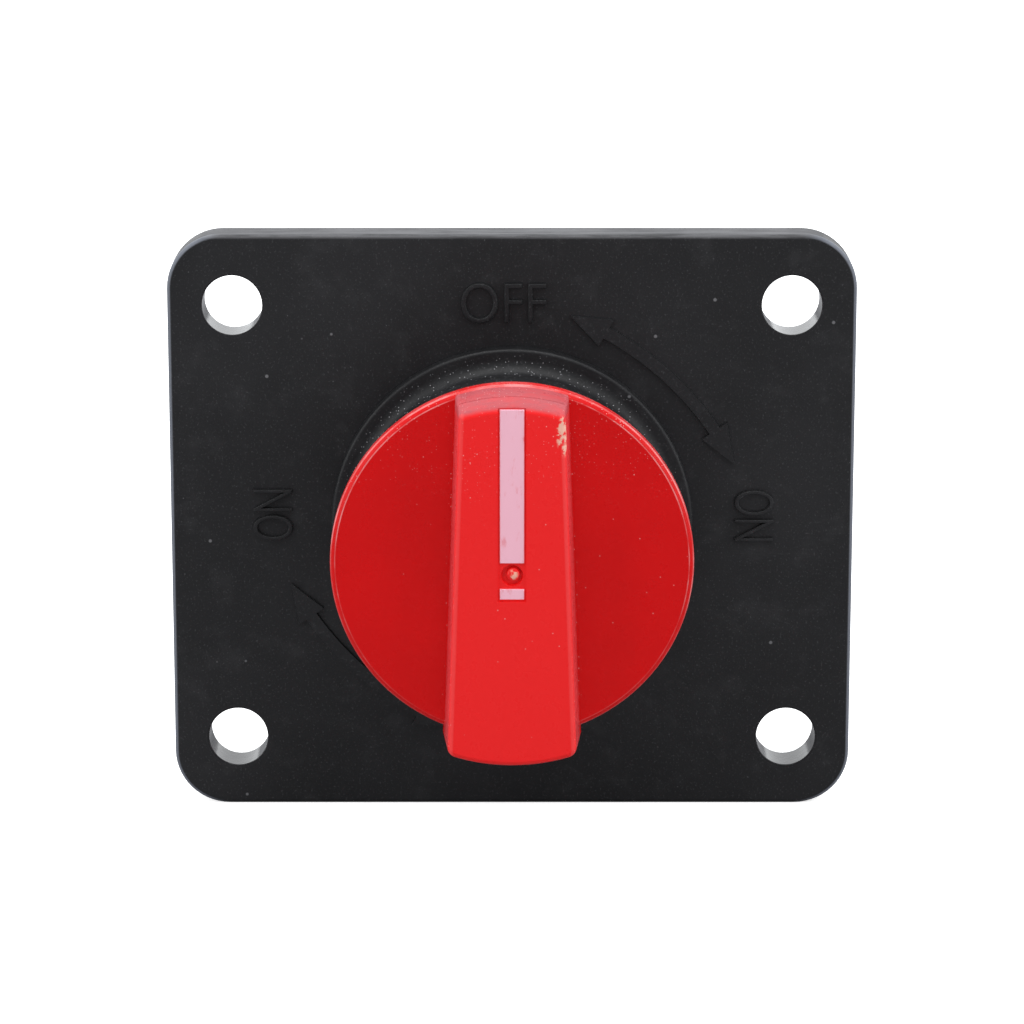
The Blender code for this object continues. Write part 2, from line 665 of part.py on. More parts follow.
def make_terminal_stud(name, place):
    profile = [
        (0, STUD_FRONT + EMBED),
        (STUD_RADIUS, STUD_FRONT + EMBED),
        (STUD_RADIUS, STUD_END - STUD_CHAMFER),
        (STUD_RADIUS - STUD_CHAMFER, STUD_END),
        (0, STUD_END),
    ]
    stud = turned(name, profile, SMALL, place)
    head = rounded_rectangle(STUD_HEAD_X, STUD_HEAD_Z, FIT, 2)
    join(stud, prism(f"guide_head_{name}", head, STUD_FRONT, STUD_FRONT + STUD_HEAD, place))
    return finished(stud, "tinned_copper")


def make_nut(name, front, height, place):
    """A hexagonal bar cut to length by a turned shape with both ends chamfered."""
    corner = NUT_ACROSS_FLATS / 2 / math.cos(math.radians(30))
    hexagon = arc((0, 0), corner, 30, 330, 5)
    nut = prism(name, hexagon, front - EMBED, front + height + EMBED, place)
    face = NUT_ACROSS_FLATS / 2 - GAP
    outside = corner + EMBED
    rise = (outside - face) * math.tan(math.radians(30))
    profile = [
        (0, front),
        (face, front),
        (outside, front + rise),
        (outside, front + height - rise),
        (face, front + height),
        (0, front + height),
    ]
    combine(nut, turned(f"guide_chamfer_{name}", profile, MEDIUM, place), "INTERSECT")
    bore = rod(f"guide_thread_{name}", STUD_RADIUS + RUN, front - EMBED, front + height + EMBED, SMALL, place)
    cut(nut, bore)
    return finished(nut, "zinc_steel")


def make_lock_washer(name, place):
    front, back = LOCK_WASHER_FRONT, LOCK_WASHER_FRONT + LOCK_WASHER
    washer = ring(name, STUD_RADIUS + FIT, LOCK_WASHER_RADIUS, front, back, MEDIUM, place)
    half = LOCK_WASHER_SLIT / 2
    slit = [(-half, 0), (half, 0), (2 * half, LOCK_WASHER_RADIUS + EMBED), (0, LOCK_WASHER_RADIUS + EMBED)]
    cut(washer, prism(f"guide_slit_{name}", slit, front - EMBED, back + EMBED, place))
    return finished(washer, "zinc_steel")


def make_terminal(side, direction):
    place = (direction * STUD_SPACING / 2, 0, 0)
    bore = STUD_RADIUS + FIT
    make_terminal_stud(f"terminal_stud_{side}", place)
    seal_mean = STUD_RADIUS + RING_SECTION + FIT
    seal = o_ring(f"stud_seal_{side}", seal_mean, RING_SECTION, PAD_FACE - RING_SECTION, place)
    finished(seal, "seal_rubber")
    for name, front in (("clamp_washer", CLAMP_WASHER_FRONT), ("lug_washer", LUG_WASHER_FRONT)):
        back = front + WASHER_THICKNESS
        washer = ring(f"{name}_{side}", bore, WASHER_RADIUS, front, back, MEDIUM, place)
        finished(washer, "zinc_steel")
    make_nut(f"clamp_nut_{side}", CLAMP_NUT_FRONT, CLAMP_NUT, place)
    make_lock_washer(f"lock_washer_{side}", place)
    make_nut(f"terminal_nut_{side}", TERMINAL_NUT_FRONT, TERMINAL_NUT, place)


def square(half):
    return rectangle(-half, half, -half, half)


def grip_width(z, width, taper):
    return width - taper * z


def end_arc(radius, width, taper, steps):
    """Points across the grip's end, left to right, on a circle about the knob's axis."""
    sign = 1 if radius > 0 else -1
    reach = abs(radius)
    half = grip_width(sign * reach, width, taper) / 2
    half = grip_width(sign * math.sqrt(reach**2 - half**2), width, taper) / 2
    spread = math.degrees(math.asin(half / reach))
    return arc((0, 0), reach, sign * 90 + sign * spread, sign * 90 - sign * spread, steps)


def grip_outline(width, taper, front_radius, back_radius, steps=8):
    """The grip seen from the front: narrow at the pointer's end, with both ends round the axis."""
    handle_end = end_arc(-back_radius, width, taper, steps)
    return end_arc(front_radius, width, taper, steps) + handle_end[::-1]


def make_grip():
    """The knob's tapered grip, bridged from its outline on the disc to its smaller flat face."""
    handle = KNOB_RADIUS + GRIP_OVERHANG
    base = grip_outline(GRIP_BASE_WIDTH, GRIP_BASE_TAPER, KNOB_RADIUS - GAP, handle)
    face = grip_outline(GRIP_FACE_WIDTH, GRIP_FACE_TAPER, KNOB_RADIUS - GRIP_FRONT_SETBACK, handle - FIT)
    bm = bmesh.new()
    loops = []
    for outline, y in ((base, KNOB_BACK - GAP), (base, DISC_FACE), (face, GRIP_FACE)):
        points = [bm.verts.new((x, y, z)) for x, z in outline]
        loops.append([bm.edges.new(pair) for pair in zip(points, points[1:] + points[:1])])
    for low, high in zip(loops, loops[1:]):
        bmesh.ops.bridge_loops(bm, edges=low + high)
    bmesh.ops.edgeloop_fill(bm, edges=loops[0])
    bmesh.ops.edgeloop_fill(bm, edges=loops[-1])
    grip = object_of("guide_grip", bm)
    round_edges(grip, GRIP_EDGE)
    return grip


def make_knob(parent):
    profile = [
        (0, DISC_FACE),
        (KNOB_RADIUS - KNOB_EDGE, DISC_FACE),
        (KNOB_RADIUS, DISC_FACE + KNOB_EDGE),
        (KNOB_RADIUS, KNOB_BACK),
        (HUB_RADIUS, KNOB_BACK),
        (HUB_RADIUS, HUB_END),
        (0, HUB_END),
    ]
    knob = turned("knob", profile, LARGE)
    join(knob, make_grip())
    tenon_end = SPINDLE_FRONT - GAP
    socket = square(SPINDLE_SQUARE / 2 + FIT)
    cut(knob, prism("guide_socket", socket, tenon_end, HUB_END + EMBED))
    pocket = INSERT_RADIUS + FIT
    cut(knob, rod("guide_insert_pocket", pocket, tenon_end - INSERT_LENGTH - FIT, tenon_end + EMBED, SMALL))
    half = GROOVE_WIDTH / 2
    groove = rectangle(-half, half, -POINTER_END - FIT, KNOB_RADIUS)
    cut(knob, prism("guide_groove", groove, GRIP_FACE - EMBED, GRIP_FACE + GROOVE_DEPTH))
    cut(knob, rod("guide_gate", GATE_RADIUS, GRIP_FACE - EMBED, GRIP_FACE + GATE_DEPTH, TINY))
    return finished(knob, "red_plastic", parent)


def make_pointer(parent):
    half = GROOVE_WIDTH / 2 - FIT
    outer = KNOB_RADIUS - GRIP_FRONT_SETBACK - GRIP_EDGE
    spans = {
        "pointer_line": (GATE_RADIUS, outer),
        "pointer_tail": (-POINTER_END, -GATE_RADIUS - FIT),
    }
    for name, (low, high) in spans.items():
        outline = rectangle(-half, half, low, high)
        strip = prism(name, outline, GRIP_FACE, GRIP_FACE + GROOVE_DEPTH - FIT)
        finished(strip, "pointer_paint", parent)


def make_knob_insert(parent):
    back = SPINDLE_FRONT - GAP
    insert = ring("knob_insert", SCREW_RADIUS + RUN, INSERT_RADIUS, back - INSERT_LENGTH, back, SMALL)
    return finished(insert, "brass", parent)


def make_spindle(parent):
    flange_back = FLANGE_FRONT + SPINDLE_FLANGE
    bar = prism("spindle", square(SPINDLE_SQUARE / 2), SPINDLE_FRONT, SPINDLE_BACK)
    round_edges(bar, FIT, 1)
    flange = HUB_RADIUS + SPINDLE_FLANGE_WIDTH
    join(bar, rod("guide_flange", flange, FLANGE_FRONT, flange_back))
    bore = SCREW_RADIUS + GAP
    cut(bar, rod("guide_spindle_bore", bore, SPINDLE_FRONT - EMBED, SPINDLE_BACK + EMBED, TINY))
    return finished(bar, "brass", parent)


def make_thrust_washer(parent):
    back = THRUST_FRONT + THRUST_WASHER
    washer = ring("thrust_washer", HUB_RADIUS + GAP, FLANGE_RADIUS, THRUST_FRONT, back)
    return finished(washer, "cam_plastic", parent)


def make_detent_cam(parent):
    cam = rod("detent_cam", CAM_RADIUS, CAM_FRONT, CAM_BACK, LARGE)
    reach = CAVITY_RADIUS - LUG_MARGIN
    low, high = 90 - LUG_HALF_ANGLE, 90 + LUG_HALF_ANGLE
    lug = arc((0, 0), reach, low, high, 4) + arc((0, 0), CAM_RADIUS - EMBED, high, low, 4)
    join(cam, prism("guide_lug", lug, LUG_FRONT, CAM_BACK))
    for i in range(NOTCH_COUNT):
        turn = 2 * math.pi * i / NOTCH_COUNT
        reach = CAM_RADIUS - NOSE_DEPTH - LEAF_THICKNESS / 2 - FIT + NOTCH_RADIUS - NOSE_DEPTH
        place = (reach * math.cos(turn), 0, reach * math.sin(turn))
        cut(cam, rod(f"guide_notch_{i}", NOTCH_RADIUS, CAM_FRONT - EMBED, LUG_FRONT, TINY, place))
    bore = square(SPINDLE_SQUARE / 2 + FIT)
    cut(cam, prism("guide_cam_bore", bore, CAM_FRONT - EMBED, CAM_BACK + EMBED))
    return finished(cam, "cam_plastic", parent)


def make_spacer_sleeve(parent):
    front, back = CAM_BACK + GAP, CARRIER_FRONT - GAP
    sleeve = ring("spacer_sleeve", SPACER_BORE, SPACER_BORE + SPACER_WALL, front, back, SMALL)
    return finished(sleeve, "cam_plastic", parent)


def make_contact_carrier(parent):
    carrier = rod("contact_carrier", CARRIER_RADIUS, CARRIER_FRONT, CARRIER_FLOOR, LARGE)
    lip_front = BAR_BACK + GAP
    top = lip_front + LIP_THICKNESS
    for i, side in enumerate((-1, 1)):
        inner, outer = side * SLOT_HALF_WIDTH, side * (SLOT_HALF_WIDTH + CHEEK_WIDTH)
        z = CHEEK_HALF_LENGTH
        cheek = rectangle(*sorted((inner, outer)), -z, z)
        join(carrier, prism(f"guide_cheek_{i}", cheek, CARRIER_FLOOR - EMBED, top))
        z = LIP_HALF_LENGTH
        edge = side * (BAR_WIDTH / 2 - LIP_REACH)
        lip = rectangle(*sorted((edge, inner + side * EMBED)), -z, z)
        join(carrier, prism(f"guide_lip_{i}", lip, lip_front, top))
        place = (0, 0, side * SPRING_OFFSET)
        floor = CARRIER_FRONT + SPRING_FLOOR
        cut(carrier, rod(f"guide_pocket_{i}", POCKET_RADIUS, floor, CARRIER_FLOOR + EMBED, SMALL, place))
    bore = square(SPINDLE_SQUARE / 2 + FIT)
    cut(carrier, prism("guide_carrier_bore", bore, CARRIER_FRONT - EMBED, SPINDLE_BACK + GAP))
    screw_hole = SCREW_RADIUS + GAP
    cut(carrier, rod("guide_web_hole", screw_hole, SPINDLE_BACK, CARRIER_FLOOR + EMBED, TINY))
    return finished(carrier, "carrier_plastic", parent)


def make_knob_screw(parent):
    front = SPINDLE_FRONT - GAP - INSERT_LENGTH
    back = SCREW_HEAD_FRONT + SCREW_HEAD
    profile = [
        (0, front),
        (SCREW_RADIUS, front),
        (SCREW_RADIUS, SCREW_HEAD_FRONT),
        (SCREW_HEAD_RADIUS, SCREW_HEAD_FRONT),
        (SCREW_HEAD_RADIUS, back - GAP),
        (SCREW_HEAD_RADIUS - GAP, back),
        (0, back),
    ]
    screw = turned("knob_screw", profile, SMALL)
    cut_cross(screw, (0, 0, 0), SCREW_HEAD_RADIUS, back)
    finished(screw, "zinc_steel", parent)
    washer_front = CARRIER_FLOOR + GAP
    washer_back = washer_front + SCREW_WASHER
    bore = SCREW_RADIUS + FIT
    washer = ring("knob_screw_washer", bore, SCREW_WASHER_RADIUS, washer_front, washer_back)
    finished(washer, "zinc_steel", parent)


def make_contact_spring(name, parent, side):
    """A compression spring between the carrier's pocket and the bar."""
    low = CARRIER_FRONT + SPRING_FLOOR + GAP + SPRING_WIRE
    high = BAR_FRONT - GAP - SPRING_WIRE
    count = SPRING_TURNS * TINY
    curve = bpy.data.curves.new(name, "CURVE")
    curve.dimensions = "3D"
    curve.bevel_depth = SPRING_WIRE
    curve.bevel_resolution = 0
    curve.use_fill_caps = True
    spline = curve.splines.new("POLY")
    spline.points.add(count)
    for i, point in enumerate(spline.points):
        turn = 2 * math.pi * SPRING_TURNS * i / count
        y = low + (high - low) * i / count
        point.co = (SPRING_COIL * math.cos(turn), y, SPRING_COIL * math.sin(turn), 1)
    spring = bpy.data.objects.new(name, curve)
    spring.location = (0, 0, side * SPRING_OFFSET)
    bpy.context.collection.objects.link(spring)
    return finished(spring, "spring_steel", parent)


def make_contact_bar(parent):
    outline = rounded_rectangle(BAR_WIDTH, 2 * BAR_HALF_LENGTH, BAR_CORNER, 4)
    bar = prism("contact_bar", outline, BAR_FRONT, BAR_BACK)
    for i, side in enumerate((-1, 1)):
        place = (0, 0, side * STUD_SPACING / 2)
        rivet = TIP_SHANK_RADIUS + FIT
        cut(bar, rod(f"guide_rivet_{i}", rivet, BAR_FRONT - EMBED, BAR_BACK + EMBED, TINY, place))
    return finished(bar, "copper", parent)


def make_contact_tip(name, parent, side):
    head_front = BAR_BACK + GAP
    profile = [
        (0, head_front - TIP_SHANK),
        (TIP_SHANK_RADIUS, head_front - TIP_SHANK),
        (TIP_SHANK_RADIUS, head_front),
        (TIP_RADIUS, head_front),
        (TIP_RADIUS, TIP_BACK - GAP),
        (TIP_RADIUS - GAP, TIP_BACK),
        (0, TIP_BACK),
    ]
    tip = turned(name, profile, SMALL, (0, 0, side * STUD_SPACING / 2))
    return finished(tip, "silver", parent)


def axis_empty(name):
    """An empty on the knob's axis that carries what moves."""
    empty = bpy.data.objects.new(name, None)
    bpy.context.collection.objects.link(empty)
    return empty


def make_housing_group():
    make_face_plate()
    make_spindle_bush()
    make_spindle_seal()
    make_detent_spring("detent_spring_left", -1)
    make_detent_spring("detent_spring_right", 1)
    make_housing_gasket()
    make_rear_housing()
    for i, (x, z) in enumerate(post_places()):
        make_housing_screw(f"housing_screw_{i + 1}", (x, 0, z))
    make_terminal("left", -1)
    make_terminal("right", 1)


def make_rotor_group(rotor):
    make_knob(rotor)
    make_pointer(rotor)
    make_knob_insert(rotor)
    make_spindle(rotor)
    make_thrust_washer(rotor)
    make_detent_cam(rotor)
    make_spacer_sleeve(rotor)
    make_contact_carrier(rotor)
    make_knob_screw(rotor)
    make_contact_spring("contact_spring_upper", rotor, 1)
    make_contact_spring("contact_spring_lower", rotor, -1)


def make_contact_group(contact):
    make_contact_bar(contact)
    make_contact_tip("contact_tip_upper", contact, 1)
    make_contact_tip("contact_tip_lower", contact, -1)


def main():
    clear_scene()
    rotor = axis_empty("knob_axis")
    contact = axis_empty("contact_slide")
    contact.parent = rotor
    make_housing_group()
    make_rotor_group(rotor)
    make_contact_group(contact)


main()
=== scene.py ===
"""Finished look of a panel-mounted rotary battery switch, laid out as a Blender add-on.

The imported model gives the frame. Each operator below models one piece, or one group of like pieces,
in metres about the knob's axis: the front faces -Y and +Z is up.
"""

import json
import math

import bmesh
import bpy
from bpy.props import FloatProperty, FloatVectorProperty, IntProperty, PointerProperty
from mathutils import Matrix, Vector


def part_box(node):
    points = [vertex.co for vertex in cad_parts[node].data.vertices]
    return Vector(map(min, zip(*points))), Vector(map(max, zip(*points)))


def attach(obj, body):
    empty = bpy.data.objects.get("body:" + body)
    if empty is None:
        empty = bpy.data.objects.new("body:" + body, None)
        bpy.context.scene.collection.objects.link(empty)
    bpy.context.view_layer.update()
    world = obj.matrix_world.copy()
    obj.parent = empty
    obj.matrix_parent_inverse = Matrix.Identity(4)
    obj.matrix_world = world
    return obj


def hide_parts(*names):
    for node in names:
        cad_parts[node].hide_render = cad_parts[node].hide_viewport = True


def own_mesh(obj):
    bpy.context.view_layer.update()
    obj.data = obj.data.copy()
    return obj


bl_info = {
    "name": "Rotary battery switch",
    "version": (1, 0, 0),
    "blender": (4, 5, 0),
    "location": "3D View > Sidebar > Battery switch",
    "description": "Models a panel-mounted battery switch with a turning grip knob and two terminals",
    "category": "Object",
}

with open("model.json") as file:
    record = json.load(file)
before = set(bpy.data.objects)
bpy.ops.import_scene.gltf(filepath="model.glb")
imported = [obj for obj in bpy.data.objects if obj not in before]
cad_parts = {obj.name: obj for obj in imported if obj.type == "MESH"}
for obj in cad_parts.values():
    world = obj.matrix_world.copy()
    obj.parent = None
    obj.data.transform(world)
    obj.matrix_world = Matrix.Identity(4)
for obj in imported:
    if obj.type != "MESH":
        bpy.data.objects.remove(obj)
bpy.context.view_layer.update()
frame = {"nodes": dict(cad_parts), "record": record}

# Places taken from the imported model


def centre_of(node):
    """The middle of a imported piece's box."""
    return tuple((low + high) / 2 for low, high in zip(*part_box(node)))


PLATE_FRONT = next(m["pos_m"][1] for m in frame["record"]["mounts"] if m["name"] == "plate_front")
PLATE_LOW, PLATE_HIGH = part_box("face_plate")
COLLAR_TOP = PLATE_LOW.y
KNOB_LOW, KNOB_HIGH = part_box("knob")
GRIP_FACE = KNOB_LOW.y
SHELL_LOW, SHELL_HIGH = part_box("rear_housing")
STUD_X = centre_of("terminal_stud_right")[0]
STUD_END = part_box("terminal_stud_right")[1].y
SCREW_X, _, SCREW_Z = centre_of("housing_screw_2")

# Levels along Y and radii that the pieces share
STEP_TOP = PLATE_FRONT - 0.0015
ROOF_INSIDE = COLLAR_TOP + 0.0032
DISC_BACK = COLLAR_TOP - 0.0004
DISC_FACE = DISC_BACK - 0.0020
HUB_END = -0.0135
HUB_RADIUS = 0.00643
COLLAR_RADIUS = 0.0160
CAVITY_RADIUS = 0.01348
BUSH_RADIUS = 0.00828
STEP_RADIUS = 0.0185
BOLT_X, BOLT_Z = 0.0284, 0.02275
SHELL_FACE = SHELL_HIGH.y - 0.0120
SHELL_FLOOR = 0.0217
PAD_FACE = SHELL_FACE + 0.0008
SHELL_RADIUS = SHELL_HIGH.x
SHELL_BORE = SHELL_RADIUS - 0.0027
SCREW_BORE = 0.00165
STUD_RADIUS, STUD_BORE = 0.0040, 0.0042
NUT_FLATS = 0.0130

# The grip's half width at the disc, its slopes, and its two ends as levels and distances from the axis
GRIP_HALF, GRIP_DRAFT, GRIP_TAPER = 0.00616, 0.092, 0.035
POINTER_END = [(GRIP_FACE, 0.01670), (-0.02438, 0.01745), (DISC_FACE, 0.01797), (0.0, 0.01797)]
HANDLE_END = [(GRIP_FACE, 0.01935), (DISC_FACE, 0.0195), (0.0, 0.0195)]

PAST = 0.001  # how far a tool reaches past the face that it cuts or joins
SMALL = 1e-5  # how close a corner lies to a level for it to count as on it
MERGE = 1e-7  # corners closer than this become one

# Tones on the mouldings: dust, haze and a scuff that age and handling leave, and painted highlights and sheen
RIM_HIGHLIGHT = (0.26, 0.28, 0.33)
END_HAZE_AND_SHEEN = (0.44, 0.085, 0.100)
DISC_RIM_HIGHLIGHT = (0.95, 0.42, 0.42)
KNOB_DUST = (0.95, 0.62, 0.60)
GRIP_WALL = (0.66, 0.15, 0.17)
GRIP_EDGE_HIGHLIGHT = (1.0, 0.13, 0.13)
SCUFFED = (0.92, 0.50, 0.38)
GATE_PALE = (1.0, 0.62, 0.46)
SPRING_STEEL = (0.46, 0.46, 0.48)
CARRIER = (0.55, 0.53, 0.47)


def length(name, description, default):
    return FloatProperty(name=name, description=description, default=default, unit="LENGTH")


def tone(name, description, default):
    return FloatVectorProperty(name=name, description=description, subtype="COLOR", default=default)


class SWITCH_PG_plate(bpy.types.PropertyGroup):
    """Sizes of the face plate and of its raised marks."""

    corner: length("Corner", "Radius of the plate's corners", 0.0056)
    edge: length("Edge", "Rounding of the plate's front edge", 0.0005)
    hole: length("Bolt hole", "Radius of the four bolt holes", 0.00305)
    fillet: length("Fillet", "Radius between the collar and its step", 0.0015)
    mark_height: length("Mark height", "How far the marks stand proud", 0.00036)


class SWITCH_PG_knob(bpy.types.PropertyGroup):
    """Sizes of the knob, its grip and its pointer."""

    radius: length("Disc", "Radius of the disc", 0.0180)
    chamfer: length("Rim chamfer", "Chamfer round the disc's face", 0.00045)
    grip_edge: length("Grip edge", "Rounding round the grip's face", 0.00055)
    grip_corner: length("Grip corner", "Rounding of the handle end's corners", 0.0010)
    pointer_corner: length("Pointer corner", "Rounding of the pointer end's corners", 0.0004)
    groove_width: length("Groove", "Width of the pointer's groove", 0.00275)
    groove_depth: length("Groove depth", "Depth of the pointer's groove", 0.0003)


class SWITCH_PG_terminals(bpy.types.PropertyGroup):
    """Sizes of the threaded terminals."""

    pitch: length("Pitch", "The thread's pitch", 0.00125)
    thread_depth: length("Thread depth", "Height of the thread's ridge", 0.00068)
    turns: IntProperty(name="Turns", description="Turns of thread beyond the housing", default=17)


class SWITCH_PG_colours(bpy.types.PropertyGroup):
    """Colours of the finishes."""

    plate: tone("Plate", "Moulded face plate", (0.0100, 0.0100, 0.0112))
    shell: tone("Housing", "Moulded rear housing", (0.0115, 0.0118, 0.0130))
    knob: tone("Knob", "Moulded knob", (0.71, 0.0020, 0.0030))
    # Painted light: a lighter red for the grip's raised face, standing in for the light it catches more than
    # the disc
    knob_lit_face: tone("Knob, handled", "Grip's handled face", (0.95, 0.0180, 0.0190))
    pointer: tone("Pointer", "Paint in the pointer's groove", (0.97, 0.52, 0.63))
    dust: tone("Dust", "Dust on the moulded faces", (0.42, 0.42, 0.44))
    zinc: tone("Zinc", "Plated steel", (0.62, 0.63, 0.65))
    tin: tone("Tin", "Tinned copper studs", (0.70, 0.69, 0.66))
    copper: tone("Copper", "Contact bar", (0.80, 0.42, 0.28))
    brass: tone("Brass", "Spindle, bush and insert", (0.72, 0.52, 0.22))
    silver: tone("Silver", "Contact tips", (0.86, 0.85, 0.82))
    acetal: tone("Acetal", "Cam, sleeve and thrust washer", (0.74, 0.73, 0.68))
    rubber: tone("Rubber", "Gasket and seals", (0.012, 0.012, 0.012))


class SWITCH_PG_stage(bpy.types.PropertyGroup):
    """The camera's place and the lights."""

    distance: FloatProperty(
        name="Distance", description="Camera to the middle of the plate", default=0.430, unit="LENGTH"
    )
    elevation: FloatProperty(
        name="Elevation", description="Camera above the horizon", default=math.radians(13.38), subtype="ANGLE"
    )
    lens: FloatProperty(name="Lens", description="Focal length in millimetres", default=147.4)
    aim_height: FloatProperty(
        name="Aim", description="Height that the camera looks at", default=0.00121, unit="LENGTH"
    )
    surround: FloatProperty(name="Surround", description="Strength of the surround in front", default=0.50)
    surround_behind: FloatProperty(
        name="Surround behind", description="Strength of the surround behind and beside", default=1.6
    )
    top: FloatProperty(name="Top light", description="Power of the light above, in watts", default=1.5)
    side: FloatProperty(name="Side light", description="Power of each side light, in watts", default=0.7)


# Modelling


def deselect():
    if bpy.context.mode != "OBJECT":
        bpy.ops.object.mode_set(mode="OBJECT")
    bpy.ops.object.select_all(action="DESELECT")


def select_only(obj):
    deselect()
    obj.select_set(True)
    bpy.context.view_layer.objects.active = obj


def settle():
    """Moves the active object's place, turn and scale into its mesh."""
    bpy.ops.object.transform_apply(location=True, rotation=True, scale=True)


def placed(name):
    """The new primitive under its name, with its place moved into its mesh."""
    obj = bpy.context.active_object
    obj.name = obj.data.name = name
    settle()
    return obj


def edit_all():
    """Opens the active object for editing with everything selected."""
    bpy.ops.object.mode_set(mode="EDIT")
    bpy.ops.mesh.select_all(action="SELECT")


def face_outwards():
    bpy.ops.mesh.select_all(action="SELECT")
    bpy.ops.mesh.normals_make_consistent(inside=False)
    bpy.ops.object.mode_set(mode="OBJECT")


def modify(obj, kind, **settings):
    """Adds a modifier with its settings and applies it."""
    bpy.ops.object.modifier_add(type=kind)
    modifier = obj.modifiers[-1]
    for key, value in settings.items():
        setattr(modifier, key, value)
    bpy.ops.object.modifier_apply(modifier=modifier.name)


def block(name, x, y, z):
    """A box between two limits along each axis."""
    deselect()
    middle = [(low + high) / 2 for low, high in (x, y, z)]
    size = [high - low for low, high in (x, y, z)]
    bpy.ops.mesh.primitive_cube_add(size=1, location=middle, scale=size)
    return placed(name)


def turned(name, rings, centre=(0.0, 0.0), steps=128, hollow=False):
    """A circle about Y extruded and resized through (radius, y) rings: a solid, or a closed ring."""
    deselect()
    radius, level = rings[0]
    bpy.ops.mesh.primitive_circle_add(
        vertices=steps,
        radius=radius,
        fill_type="NOTHING" if hollow else "NGON",
        location=(centre[0], level, centre[1]),
        rotation=(math.pi / 2, 0, 0),
    )
    obj = placed(name)
    edit_all()
    for next_radius, next_level in rings[1:] + (rings[:1] if hollow else []):
        bpy.ops.mesh.extrude_region_move(TRANSFORM_OT_translate={"value": (0, next_level - level, 0)})
        share = next_radius / radius
        if abs(share - 1) > 1e-9:
            middle = (centre[0], next_level, centre[1])
            bpy.ops.transform.resize(value=(share, 1, share), center_override=middle)
        radius, level = next_radius, next_level
    if hollow:
        bpy.ops.mesh.select_all(action="SELECT")
        bpy.ops.mesh.remove_doubles(threshold=MERGE)
    face_outwards()
    return obj


def rod(name, radius, low, high, centre=(0.0, 0.0), steps=96):
    """A plain cylinder about Y."""
    return turned(name, [(radius, low), (radius, high)], centre, steps)


def wound(name, section, rise, turns, centre, steps=40, angle=math.tau):
    """A section, given by reach and level, wound along Y about a line through a place on the face."""
    deselect()
    bpy.ops.mesh.primitive_circle_add(vertices=len(section), radius=1, fill_type="NGON")
    coil = placed(name)
    for vertex, (out, level) in zip(coil.data.vertices, section):
        vertex.co = (out, level, 0)
    coil.location = (centre[0], 0, centre[1])
    settings = {"axis": "Y", "angle": angle, "screw_offset": rise, "iterations": turns}
    modify(coil, "SCREW", **settings, steps=steps, render_steps=steps)
    settle()
    edit_all()
    bpy.ops.mesh.remove_doubles(threshold=MERGE)
    bpy.ops.mesh.fill_holes(sides=len(section))
    face_outwards()
    return coil


def bridged(name, rows):
    """A closed body through rows of points, each row joined to the next and the two ends filled."""
    deselect()
    bpy.ops.mesh.primitive_plane_add(size=0.001)
    body = placed(name)
    edit_all()
    bpy.ops.mesh.delete(type="VERT")
    mesh = bmesh.from_edit_mesh(body.data)
    corners = [[mesh.verts.new(point) for point in row] for row in rows]
    for first, second in zip(corners, corners[1:]):
        for i in range(len(first)):
            j = (i + 1) % len(first)
            mesh.faces.new((first[i], first[j], second[j], second[i]))
    mesh.faces.new(corners[0])
    mesh.faces.new(corners[-1][::-1])
    bmesh.update_edit_mesh(body.data)
    face_outwards()
    return body


def between(points, level):
    """The value at a level, from a list of levels and values in order."""
    for (a, first), (b, second) in zip(points, points[1:]):
        if level <= b:
            return first + (second - first) * max(0.0, level - a) / (b - a)
    return points[-1][1]


def combine(obj, tool, operation):
    select_only(obj)
    modify(obj, "BOOLEAN", operation=operation, solver="EXACT", object=tool)
    bpy.data.objects.remove(tool)


def carve(obj, tool):
    combine(obj, tool, "DIFFERENCE")


def weld(obj, tool):
    combine(obj, tool, "UNION")


def join(obj, others):
    select_only(obj)
    for other in others:
        other.select_set(True)
    bpy.ops.object.join()


def select_edges(obj, wanted):
    """Selects the edges whose two ends pass a test."""
    select_only(obj)
    bpy.ops.object.mode_set(mode="EDIT")
    bpy.ops.mesh.select_mode(type="EDGE")
    bpy.ops.mesh.select_all(action="DESELECT")
    mesh = bmesh.from_edit_mesh(obj.data)
    for edge in mesh.edges:
        edge.select_set(bool(wanted(edge.verts[0].co, edge.verts[1].co)))
    bmesh.update_edit_mesh(obj.data)


def bevel(obj, wanted, width, segments):
    """Rounds the edges whose two ends pass a test."""
    select_edges(obj, wanted)
    bpy.ops.mesh.bevel(offset=width, segments=segments, affect="EDGES", clamp_overlap=True)
    bpy.ops.object.mode_set(mode="OBJECT")


def at_level(level):
    return lambda a, b: abs(a.y - level) < SMALL and abs(b.y - level) < SMALL


def smooth(obj, angle=35):
    """Smooth shading that stays crisp at edges and flat on the large faces."""
    select_only(obj)
    bpy.ops.object.shade_smooth_by_angle(angle=math.radians(angle), keep_sharp_edges=False)
    modify(obj, "WEIGHTED_NORMAL", keep_sharp=True, weight=80)


def fit_out(obj, body, slot, *nodes):
    """Gives a finished piece its finish, its body and the nodes that it stands for."""
    smooth(obj)
    obj.data.materials.clear()
    obj.data.materials.append(finishes()[slot])
    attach(obj, body)
    if nodes:
        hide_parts(*nodes)
    return obj


def copied(obj, name, move):
    """A copy with a mesh of its own, moved in its mesh."""
    select_only(obj)
    bpy.ops.object.duplicate(linked=False)
    copy = bpy.context.active_object
    copy.name = copy.data.name = name
    copy.location = Vector(move)
    settle()
    return copy


# Finishes


